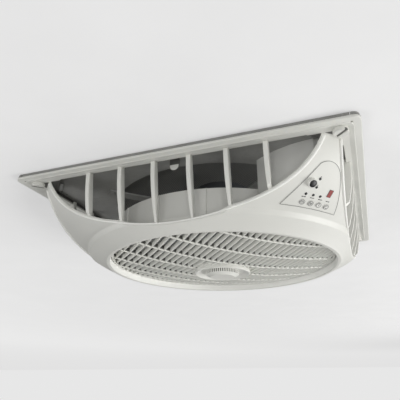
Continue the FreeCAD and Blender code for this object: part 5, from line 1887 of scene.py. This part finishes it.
@dataclass
class Grille(SubAssembly):
    """Turning grille: domed slats, rim, and the dish and knob at its middle.

    Args:
        radius: Outer radius of the rim.
        rim_wall: Thickness of the rim.
        rim_low: Lower edge of the rim.
        rim_high: Upper edge of the rim.
        rim_rounds: Rounding of those two edges.
        centre_z: Height of the slats' lower edges at the middle.
        sag: How far the slats hang below the rim at the middle.
        depth: Height of the slats.
        fin_pitch: Distance between fins.
        fin_thick: Thickness of the fins.
        bar_pitch: Distance between cross bars.
        bar_thick: Thickness of the bars.
        turn: Turn of the lattice in degrees.
        bore: Radius of the hole for the shaft.
        slat_edge: Rounding of the slats' edges, as a share of their thickness.
        slat_root: How far the slats reach in under the dish.
        plate_z: Heights of the hub plate's top and its collar's top.
        plate_over: How far the hub plate reaches out past the dish.
        plate_gap: Gap between the two.
        plate_round: Rounding of the plate's edges.
        collar: Radius of the collar.
        dish_radius: Radius of the dish.
        dish_high: Height of the dish's top.
        dish_low: Height of its lip.
        dish_floor: Thickness of its floor.
        dish_slope: How far its sloping inside starts from its outer face.
        dish_lip: Width of its lip.
        dish_rounds: Rounding of its top, of its lip's outer and inner edges and of its floor.
        knob_radius: Radius of the knob.
        knob_low: Height of the knob's face.
        knob_side: Height of the knob's upright side.
        knob_face: Radius of the knob's flat face.
        knob_back: How far its body lies behind the grips.
        knob_corner: Rounding of its side's lower edge.
        knob_edge: Offsets from the flat face's edge, outward and up, and rounding of the edge's two corners.
        flutes: Number of grips round the knob.
        grip_width: Width of a grip, as a share of its room.
        grip: Section of a grip: share of its half width, and offset from the knob's radius.
        grip_ends: How far a grip's upper end and lower bend lie inside the knob's side.
        grip_tail: Depth, share of the width and drop of a grip's lower end.
        groove_z: Gap above the band between the grips, and its height.
        groove_depths: How far its outer and inner faces lie behind the grips.
        groove_edge: Easing of its lower edge.
    """

    radius: float = 226.5
    rim_wall: float = 3.5
    rim_low: float = -114.5
    rim_high: float = -105.0
    rim_rounds: Point2 = (1.2, 0.8)
    centre_z: float = -136.0
    sag: float = 22.0
    depth: float = 9.0
    fin_pitch: float = 12.0
    fin_thick: float = 1.8
    bar_pitch: float = 60.0
    bar_thick: float = 2.8
    turn: float = 45.0
    bore: float = 3.5
    slat_edge: float = 0.3
    slat_root: float = 1.0
    plate_z: Point2 = (-127.0, -124.0)
    plate_over: float = 3.0
    plate_gap: float = 0.02
    plate_round: float = 0.6
    collar: float = 12.0
    dish_radius: float = 57.0
    dish_high: float = -131.0
    dish_low: float = -139.5
    dish_floor: float = 3.0
    dish_slope: float = 13.0
    dish_lip: float = 3.2
    dish_rounds: Tuple[float, ...] = (0.5, 1.9, 1.6, 6.0)
    knob_radius: float = 34.0
    knob_low: float = -145.5
    knob_side: float = 7.0
    knob_face: float = 24.0
    knob_back: float = 0.7
    knob_corner: float = 0.8
    knob_edge: Tuple[Point3, ...] = ((2.5, 1.1, 1.5), (1.2, 0.0, 0.8))
    flutes: int = 48
    grip_width: float = 0.62
    grip: Tuple[Point2, ...] = ((-1.0, -1.2), (-0.7, -0.25), (0.0, -0.02), (0.7, -0.25), (1.0, -1.2))
    grip_ends: Point2 = (0.1, 0.4)
    grip_tail: Point3 = (1.0, 0.8, 0.5)
    groove_z: Point2 = (0.2, 6.5)
    groove_depths: Point2 = (0.5, 1.5)
    groove_edge: float = 0.1

    def slats(self, name: str, pitch: float, thick: float, shift: float, turn: float, lower: float) -> Mesh:
        """Run the lattice tree for one set of slats.

        Args:
            name: Name of the result.
            pitch: Distance between slats.
            thick: Thickness of a slat.
            shift: Place of the middle slat, as a share of the pitch.
            turn: Turn of the set in degrees.
            lower: How far the set's lower edges are drawn up.

        Returns:
            The slats' mesh.
        """
        reach = self.radius - self.rim_wall / 2.0
        before, after = int(reach / pitch + shift), int(reach / pitch - shift)
        lengths = {"First": (shift - before) * pitch, "Pitch": pitch, "Thickness": thick,
                   "Depth": self.depth - lower, "Reach": reach, "Hub": self.dish_radius - self.slat_root,
                   "Centre Height": self.centre_z + lower, "Sag": self.sag * (reach / self.radius) ** 2,
                   "Edge": thick * self.slat_edge}
        values = {"Count": before + after + 1, "Turn": math.radians(turn),
                  **{key: size * MM for key, size in lengths.items()}}
        return Forms.shaded(Arrays.run(name, Arrays.lattice(), None, Paint.GRILLE, values), 50.0)

    def rim_and_plate(self) -> Mesh:
        """Rim and hub plate as one mesh.

        Returns:
            The joined mesh.
        """
        inside, (lower, upper) = self.radius - self.rim_wall, self.rim_rounds
        rim = Forms.rounded([(inside, self.rim_low, lower), (self.radius, self.rim_low, lower),
                             (self.radius, self.rim_high, upper), (inside, self.rim_high, upper)])
        low, edge, (top, collar) = self.dish_high + self.plate_gap, self.dish_radius + self.plate_over, self.plate_z
        corners = ((edge, low), (edge, top), (self.collar, top), (self.collar, collar))
        plate = Forms.rounded([(self.bore, low, 0.0), *((r, z, self.plate_round) for r, z in corners),
                               (self.bore, collar, 0.0)], steps=3)
        return Forms.joined("grille_rim", Forms.turned("rim", rim, 160), Forms.turned("plate", plate, 96))

    def dish(self) -> Mesh:
        """Shallow dish with a rolled lip and a sloping inside.

        Returns:
            The dish's mesh.
        """
        radius, floor = self.dish_radius, self.dish_high - self.dish_floor
        corners = ((radius, self.dish_high), (radius, self.dish_low), (radius - self.dish_lip, self.dish_low),
                   (radius - self.dish_slope, floor))
        eased = [(*corner, ease) for corner, ease in zip(corners, self.dish_rounds)]
        outline = Forms.rounded([(self.bore, self.dish_high, 0.0), *eased, (self.bore, floor, 0.0)], steps=6)
        return Forms.turned("hub_dish", outline, 128)

    def knob(self) -> Mesh:
        """Round knob with a flat face and grips round its side.

        Returns:
            The knob's mesh.
        """
        radius, low, face, top = self.knob_radius, self.knob_low, self.knob_face, self.dish_high - self.dish_floor
        side, back = top - self.knob_side, radius - self.knob_back
        edge = [(face + out, low + up, ease) for out, up, ease in self.knob_edge]
        outline = Forms.rounded([(0.0, top, 0.0), (back, top, 0.0), (back, side, self.knob_corner), *edge,
                                 (0.0, low, 0.0)])
        body = Forms.turned("knob_body", outline, 144)
        width = math.pi * radius / self.flutes * self.grip_width
        ends = (top - self.grip_ends[0], side + self.grip_ends[1])
        rings = [[(radius + off, y * width, z) for y, off in self.grip] for z in ends]
        depth, narrow, drop = self.grip_tail
        rings.append([(radius - depth, y * width * narrow, side - drop) for y, _ in self.grip])
        grip = Forms.shaded(Forms.loft("knob_grip", rings), 50.0)
        return Forms.joined("hub_knob", body, Arrays.ringed("knob_grips", grip, Paint.GRILLE, self.flutes))

    def grooves(self) -> Mesh:
        """Darker band between the knob's grips: painted shade between them.

        Returns:
            The band's mesh.
        """
        gap, tall = self.groove_z
        high, ease = self.dish_high - self.dish_floor - gap, self.groove_edge
        low, (outer, inner) = high - tall, (self.knob_radius - depth for depth in self.groove_depths)
        band = [(inner, low), (outer - ease, low), (outer, low + ease), (outer, high), (inner, high)]
        return Forms.turned("knob_groove_shade", band, 144)

    def build(self) -> None:
        """Make the lattice, rim, dish and knob and dress the shaft."""
        fins = self.slats("fins", self.fin_pitch, self.fin_thick, 0.5, self.turn, 0.0)
        bars = self.slats("bars", self.bar_pitch, self.bar_thick, 0.0, self.turn + 90.0, 0.05)
        for name, mesh, finish, nodes in (
                ("grille_lattice", fins, Paint.SLATS, ["louver_grille"]),
                ("grille_bars", bars, Paint.BARS, ()),
                ("grille_rim", self.rim_and_plate(), Paint.GRILLE, ()),
                ("hub_dish", self.dish(), Paint.GRILLE, ["louver_dish"]),
                ("hub_knob", self.knob(), Paint.GRILLE, ["louver_knob"]),
                ("knob_groove_shade", self.grooves(), Paint.GROOVE_SHADE, ())):
            self.place(name, mesh, finish, "grille_plastic", LOUVER, nodes)
        self.soften(("louver_shaft", Paint.BEARING, "bearing_steel", 0.4), body=LOUVER)


class Icon(Enum):
    """Plain signs on the four buttons."""

    POWER = 1
    BREEZE = 2
    TIMER = 3
    SWING = 4


@dataclass
class ControlPanel(SubAssembly):
    """Film on the control leg with its buttons, lenses, window and receiver.

    Args:
        leg: Map of the leg's face.
        film: Thickness of the film.
        corners: Outline of the film across the diagonal, from the lower left.
        button_first: Offset of the first button.
        button_pitch: Distance between buttons.
        button_z: Height of the buttons.
        button_radius: Radius of a button.
        button_tail: How far a button reaches into the leg.
        button_top: Outline of its top, from its radius and height.
        button_dip: How far the middle of its top is hollowed.
        proud: How far a button stands off the film.
        row: Offsets and heights of the small lenses.
        lens: Outline of a lens.
        window: Offset and height of the window.
        window_size: Width and height of the window.
        pane_z: Depths of the window's back and front.
        sensor: Offset and height of the receiver.
        tube: Outline of the receiver's tube with its roundings.
        face: Outline of the receiver's lens.
        line: Width and height of the line round the film.
        mark: Width and height of the printed bars.
        mark_z: Height of the bars above the buttons.
        bars: Offset and length of each bar above a button.
        tick: Offset, height and length of the bar beside an upper lens.
        sign: Width and height of the buttons' signs.
        sign_dips: Depth of a sign's inner lines and of its ring below the button's top.
        sign_inner: Radius that divides the two.
        rim: Width and height of the window's rim.
    """

    leg: LegMap
    film: float = 0.6
    corners: Tuple[Point2, ...] = ((-46.4, -96.6), (-10.1, -47.9), (7.4, -43.1), (30.7, -55.3), (58.4, -96.6))
    button_first: float = -13.5
    button_pitch: float = 15.3
    button_z: float = -91.6
    button_radius: float = 4.6
    button_tail: float = -7.0
    button_top: Tuple[Point2, ...] = ((0.0, -0.65), (-0.2, -0.25), (-0.65, 0.0), (-1.3, 0.02), (-1.8, -0.12))
    button_dip: float = 0.22
    proud: float = 1.3
    row: Tuple[Point2, ...] = ((-2.1, -65.5), (-2.1, -75.0), (-14.4, -83.4), (-1.15, -83.4), (12.1, -83.4))
    lens: Tuple[Point2, ...] = ((0.0, -4.0), (2.0, -4.0), (2.0, 0.55), (2.3, 0.6), (2.3, 0.85), (1.7, 1.05),
                                (0.9, 1.2), (0.0, 1.25))
    window: Point2 = (26.9, -78.4)
    window_size: Point2 = (7.2, 12.5)
    pane_z: Point2 = (-5.0, 0.9)
    sensor: Point2 = (-14.3, -71.0)
    tube: Tuple[Point3, ...] = ((6.05, 6.6, 0.3), (7.1, 6.6, 0.5), (7.3, 0.7, 0.0), (6.5, 0.7, 0.0),
                                (6.5, -3.2, 0.0), (0.0, -3.2, 0.0), (0.0, 4.8, 0.0), (6.05, 4.8, 0.0))
    face: Tuple[Point2, ...] = ((0.0, 4.8), (6.0, 4.8), (6.0, 5.6), (4.7, 6.2), (2.5, 6.5), (0.0, 6.6))
    line: Point2 = (0.8, 0.25)
    mark: Point2 = (1.15, 0.25)
    mark_z: float = -86.5
    bars: Tuple[Point2, ...] = ((-4.4, 3.2), (-0.4, 3.2))
    tick: Point3 = (0.4, 2.4, 1.6)
    sign: Point2 = (0.6, 0.22)
    sign_dips: Point2 = (0.2, 0.14)
    sign_inner: float = 3.2
    rim: Point2 = (0.8, 0.35)

    def outline(self) -> Stroke:
        """Line along the film's edge.

        Returns:
            Places on the line with their normals.
        """
        left, shoulder, crown, right_shoulder, right = self.corners

        def straight(start: Point2, end: Point2, steps: int = 16) -> List[Point2]:
            """A straight run without its last point."""
            return [between(start, end, step / steps) for step in range(steps)]

        arch = (shoulder, crown, right_shoulder)
        turns = [arch[index:] + arch[:index] for index in range(3)]
        cross = 2.0 * sum(a[0] * (b[1] - c[1]) for a, b, c in turns)
        x = sum((a[0] ** 2 + a[1] ** 2) * (b[1] - c[1]) for a, b, c in turns) / cross
        z = sum((a[0] ** 2 + a[1] ** 2) * (c[0] - b[0]) for a, b, c in turns) / cross
        radius = math.dist(shoulder, (x, z))
        start, end = (math.atan2(place[1] - z, place[0] - x) for place in (shoulder, right_shoulder))
        path = straight(left, shoulder)
        path += [(x + radius * math.cos(a), z + radius * math.sin(a)) for a in span(start, end, 16)[:-1]]
        path += straight(right_shoulder, right) + straight(right, left, 28)
        return [self.leg.across(*place, self.film) for place in path + path[:1]]

    def dash(self, offset: float, z: float, length: float) -> Stroke:
        """Short stroke along the leg."""
        return [self.leg.at(offset + length * share, z, self.film) for share in span(-0.5, 0.5, 3)]

    @staticmethod
    def strokes(icon: Icon) -> List[List[Point2]]:
        """Lines of a button's sign in its own plane.

        Args:
            icon: The sign.

        Returns:
            Points of each line.
        """
        def arc(radius: float, start: float, end: float) -> List[Point2]:
            """Points along an arc in degrees."""
            return [(radius * math.cos(a), radius * math.sin(a))
                    for a in span(math.radians(start), math.radians(end), 14)]

        signs = {
            Icon.POWER: [arc(2.2, 125.0, 415.0), [(0.0, 0.6), (0.0, 2.7)]],
            Icon.BREEZE: [[(x * 0.4 - 2.4, y + 0.45 * math.sin(x * 0.62)) for x in range(13)]
                          for y in (-1.4, 0.0, 1.4)],
            Icon.TIMER: [[(0.0, 2.6), (0.0, 0.0), (1.5, -0.7)]],
            Icon.SWING: [arc(2.3, 40.0, 320.0), [(0.7, -2.3), (1.8, -1.5), (2.3, -2.8)]],
        }
        return [arc(4.15, 0.0, 360.0)] + signs[icon]

    def button(self, number: int, icon: Icon) -> None:
        """Make one button with its sign.

        Args:
            number: Number of the button.
            icon: Its sign.
        """
        high, r, tail = self.film + self.proud, self.button_radius, self.button_tail
        top = [(r + out, high + up) for out, up in self.button_top]
        outline = [(0.0, tail), (r, tail), *top, (0.0, high - self.button_dip)]
        place = self.leg.matrix(self.button_first + (number - 1) * self.button_pitch, self.button_z)
        cap = Forms.moved(Forms.turned("cap", outline, 48, 50.0), place)
        name = f"button_{number}"
        self.place(name + "_cap", cap, Paint.BUTTON, "button_plastic", name, [name])
        lines = [[(Vector((x, y, high - self.sign_dips[math.hypot(x, y) >= self.sign_inner])), UP) for x, y in line]
                 for line in self.strokes(icon)]
        sign = Forms.moved(Forms.ribbon("sign", lines, *self.sign), place)
        self.place(name + "_sign", sign, Paint.INK, "lens_dark", name)

    def prints(self) -> None:
        """Make the line round the film and the bars on it."""
        edge = Forms.ribbon("panel_edge", [self.outline()], *self.line)
        self.place("panel_edge_line", edge, Paint.EDGE_INK, "panel_skin")
        marks = [self.dash(self.button_first + number * self.button_pitch + side, self.mark_z, length)
                 for number in range(4) for side, length in self.bars]
        side, rise, length = self.tick
        marks += [self.dash(offset + side, z + rise, length) for offset, z in self.row[:2]]
        self.place("panel_marks", Forms.ribbon("panel_marks", marks, *self.mark), Paint.INK, "panel_skin")

    def lenses(self) -> None:
        """Make the small lenses and the display window."""
        dots = [Forms.moved(Forms.turned("dot", self.lens, 24, 60.0), self.leg.matrix(*spot)) for spot in self.row]
        self.place("indicator_dots", Forms.joined("indicator_dots", *dots), Paint.LENS, "lens_dark",
                   stands_for=["indicator_lenses"])
        wide, high = (size / 2.0 for size in self.window_size)
        place = self.leg.matrix(*self.window)
        square = [(-wide, -high), (wide, -high), (wide, high), (-wide, high)]
        pane = Forms.prism("pane", Forms.rounded([(x, y, 0.8) for x, y in square], steps=3), *self.pane_z)
        self.place("display_pane", Forms.moved(Forms.shaded(pane, 50.0, 0.2), place), Paint.WINDOW, "window_red",
                   stands_for=["display_window"])
        line = [(Vector((x, y, self.film)), UP) for x, y in square + square[:1]]
        rim = Forms.moved(Forms.ribbon("pane_edge", [line], *self.rim), place)
        self.place("pane_edge", rim, Paint.INK, "lens_dark")

    def receiver(self) -> None:
        """Make the receiver's tube and its dark lens."""
        place = self.leg.matrix(*self.sensor)
        nub = Forms.moved(Forms.turned("nub", Forms.rounded(self.tube, steps=3), 48), place)
        self.place("receiver_tube", nub, Paint.NUB, "sensor_plastic", stands_for=["sensor_nub"])
        lens = Forms.moved(Forms.turned("face", self.face, 40, 60.0), place)
        self.place("receiver_face", lens, Paint.RECEIVER, "sensor_black", stands_for=["sensor_lens"])

    def build(self) -> None:
        """Make the film's print, the buttons, lenses, window and receiver."""
        self.keep("control_overlay", Paint.PANEL)
        self.prints()
        for number, icon in enumerate(Icon, start=1):
            self.button(number, icon)
        self.lenses()
        self.receiver()
        self.soften(("button_board", Paint.BOARD, "board_green", 0.2))


@dataclass
class Electronics(SubAssembly):
    """Control corner behind the leg.

    Args:
        edge: Width of the walls' rounded edges.
    """

    edge: float = 0.4

    def build(self) -> None:
        """Dress the walls, lid, board and the parts on it."""
        self.soften(("electronics_box", Paint.BOX, "control_box_plastic", self.edge),
                    ("electronics_lid", Paint.BOX, "control_box_plastic", self.edge),
                    ("control_board", Paint.BOARD, "board_green", self.edge * 0.5),
                    ("run_capacitor", Paint.CAPACITOR, "capacitor_shell", 1.2),
                    ("terminal_block", Paint.TERMINAL, "terminal_plastic", 0.6))


@dataclass(frozen=True)
class Lamp:
    """Area lamp that looks at the fan.

    Args:
        name: Name of the lamp.
        azimuth: Direction from the fan in degrees; 0 is the near side, 90 the right.
        elevation: Height above the horizon in degrees.
        distance: Distance in metres.
        size: Side of the lamp in metres.
        power: Power in watts.
        colour: Colour of its light.
        aim: Height in metres of the point that it looks at.
    """

    name: str
    azimuth: float
    elevation: float
    distance: float
    size: float
    power: float
    colour: Colour = WHITE[:3]
    aim: float = -0.06

    def hang(self) -> None:
        """Put the lamp in the scene."""
        data = bpy.data.lights.new(self.name, "AREA")
        data.energy, data.size, data.color = self.power, self.size, self.colour
        lamp = bpy.data.objects.new(self.name, data)
        a, e = math.radians(self.azimuth), math.radians(self.elevation)
        way = Vector((math.sin(a) * math.cos(e), -math.cos(a) * math.cos(e), math.sin(e)))
        lamp.location = way * self.distance + UP * self.aim
        lamp.rotation_mode = "QUATERNION"
        lamp.rotation_quaternion = way.to_track_quat("Z", "Y")
        bpy.context.scene.collection.objects.link(lamp)


@dataclass
class StageSet:
    """Ceiling, lamps, sky and camera.

    Args:
        eye: Camera's place in millimetres.
        yaw: Camera's turn about the vertical in degrees, from +Y towards +X.
        pitch: Camera's tilt upward in degrees.
        roll: Camera's roll in degrees.
        focal: Focal length in pixels of a picture of that width.
        picture: Width of that picture.
        sensor: Width of the camera's sensor.
        clip: Nearest and farthest distance that the camera sees, in metres.
        hole: Half side of the hole in the ceiling.
        reach: Half side of the ceiling.
        ceiling_z: Height of the ceiling.
        tones: Darkest and lightest grey of the ceiling.
        fine: Fineness of its grain.
        glow: Even light that the camera sees on the ceiling.
        far_from: Point from which the ceiling grows dim, in metres.
        far_span: Distances between which it does, in metres.
        far_glow: Light that makes up for it.
        soft: Colour and strength of the sky's light.
        seen: Strength of the sky that the camera sees.
        lamps: The lamps.
    """

    eye: Point3 = (269.2, -841.5, -350.55)
    yaw: float = -20.804
    pitch: float = 23.153
    roll: float = 0.32
    focal: float = 434.08
    picture: float = 400.0
    sensor: float = 36.0
    clip: Point2 = (0.01, 100.0)
    hole: float = 290.0
    reach: float = 9000.0
    ceiling_z: float = 0.6
    tones: Tuple[int, int] = (198, 202)
    fine: float = 260.0
    glow: float = 0.35
    far_from: Point3 = (2.5, -0.75, 0.0)
    far_span: Point2 = (2.25, 6.25)
    far_glow: float = 0.325
    soft: Tuple[Colour, float] = ((1.0, 0.99, 0.975), 0.15)
    seen: float = 0.8
    lamps: Tuple[Lamp, ...] = (Lamp("key", 98.0, -27.0, 3.0, 1.6, 60.0, (1.0, 0.998, 0.99)),
                               Lamp("fill", -64.0, -33.0, 3.0, 1.4, 23.0, (0.99, 0.995, 1.0)),
                               Lamp("front", 14.0, -18.0, 3.0, 1.4, 23.0),
                               Lamp("back", 152.0, -33.0, 3.0, 1.8, 17.0),
                               Lamp("overhead", 160.0, 62.0, 2.8, 2.4, 60.0, (1.0, 0.99, 0.97)))

    def ceiling_paint(self) -> bpy.types.Material:
        """Matt paint with some even light for the camera, clear from behind.

        Returns:
            The material.
        """
        made = bpy.data.materials.new("pale_ceiling")
        pen = Pen.blank(made)
        drift = pen.group(Effects.grain(), {0: self.fine})["Drift"]
        colour = pen.mix(drift, *(opaque(tint(grey, grey, grey)) for grey in self.tones))
        ray = pen.node("ShaderNodeLightPath").outputs["Is Camera Ray"]
        apart = pen.node("ShaderNodeVectorMath", {0: pen.spot(), 1: self.far_from}, operation="DISTANCE")
        far = pen.out("ShaderNodeMapRange", {
            "Value": apart.outputs["Value"], "From Min": self.far_span[0], "From Max": self.far_span[1],
            "To Min": self.glow, "To Max": self.glow + self.far_glow}, interpolation_type="SMOOTHSTEP")
        glow = pen.out("ShaderNodeEmission", {"Color": WHITE, "Strength": pen.times(ray, far)})
        lit = pen.out("ShaderNodeAddShader", {0: pen.out("ShaderNodeBsdfDiffuse", {"Color": colour}), 1: glow})
        behind = pen.times(ray, pen.geometry("Backfacing"))
        pick = pen.out("ShaderNodeMixShader", {0: behind, 1: lit, 2: pen.out("ShaderNodeBsdfTransparent")})
        pen.node("ShaderNodeOutputMaterial", {"Surface": pick})
        return made

    def ceiling(self) -> None:
        """Pale ceiling that can't be seen from above."""
        points = [Vector((x * size, y * size, self.ceiling_z)) * MM for size in (self.hole, self.reach)
                  for x, y in SQUARE]
        mesh = bpy.data.meshes.new("ceiling")
        mesh.from_pydata(points, [], [(i, i + 4, (i + 1) % 4 + 4, (i + 1) % 4) for i in range(4)])
        mesh.materials.append(self.ceiling_paint())
        ceiling = bpy.data.objects.new("ceiling", mesh)
        bpy.context.scene.collection.objects.link(ceiling)
        if mesh.polygons[0].normal.z > 0:
            mesh.flip_normals()

    def sky(self) -> None:
        """Soft even light, with a pale sky for the camera."""
        world = bpy.data.worlds.new("soft_sky")
        bpy.context.scene.world = world
        pen = Pen.blank(world)
        soft = pen.out("ShaderNodeBackground", {"Color": opaque(self.soft[0]), "Strength": self.soft[1]})
        seen = pen.out("ShaderNodeBackground", {"Color": WHITE, "Strength": self.seen})
        path = pen.node("ShaderNodeLightPath").outputs
        shown = pen.math("MAXIMUM", path["Is Camera Ray"], path["Is Transmission Ray"])
        pen.node("ShaderNodeOutputWorld", {"Surface": pen.out("ShaderNodeMixShader", {0: shown, 1: soft, 2: seen})})

    def camera(self) -> None:
        """Camera at the photograph's place."""
        yaw, pitch, roll = (math.radians(v) for v in (self.yaw, self.pitch, self.roll))
        ahead = Vector((math.sin(yaw) * math.cos(pitch), math.cos(yaw) * math.cos(pitch), math.sin(pitch)))
        right = Vector((math.cos(yaw), -math.sin(yaw), 0.0))
        upward = right.cross(ahead)
        turned_right = right * math.cos(roll) + upward * math.sin(roll)
        turned_up = upward * math.cos(roll) - right * math.sin(roll)
        data = bpy.data.cameras.new("camera")
        data.sensor_width = self.sensor
        data.lens = self.focal / self.picture * self.sensor
        data.clip_start, data.clip_end = self.clip
        camera = bpy.data.objects.new("camera", data)
        turn = Matrix((turned_right, turned_up, -ahead)).transposed().to_4x4()
        camera.matrix_world = Matrix.Translation(Vector(self.eye) * MM) @ turn
        bpy.context.scene.collection.objects.link(camera)
        bpy.context.scene.camera = camera

    def build(self) -> None:
        """Set the stage."""
        self.ceiling()
        for lamp in self.lamps:
            lamp.hang()
        self.sky()
        self.camera()
        bpy.context.scene.view_settings.view_transform = "Standard"


def main() -> None:
    """Build every sub-assembly in order."""
    logging.basicConfig(level=logging.INFO, format="%(name)s %(message)s")
    cowl = Cowl()
    CeilingFrame().build()
    cowl.build()
    IntakeGuard().build(cowl)
    DuctAndSpider().build()
    DeckAndDome().build()
    Motor().build()
    Rotor().build()
    Grille().build()
    Electronics().build()
    ControlPanel(cowl.leg_map()).build()
    StageSet().build()


if __name__ == "__main__":
    main()
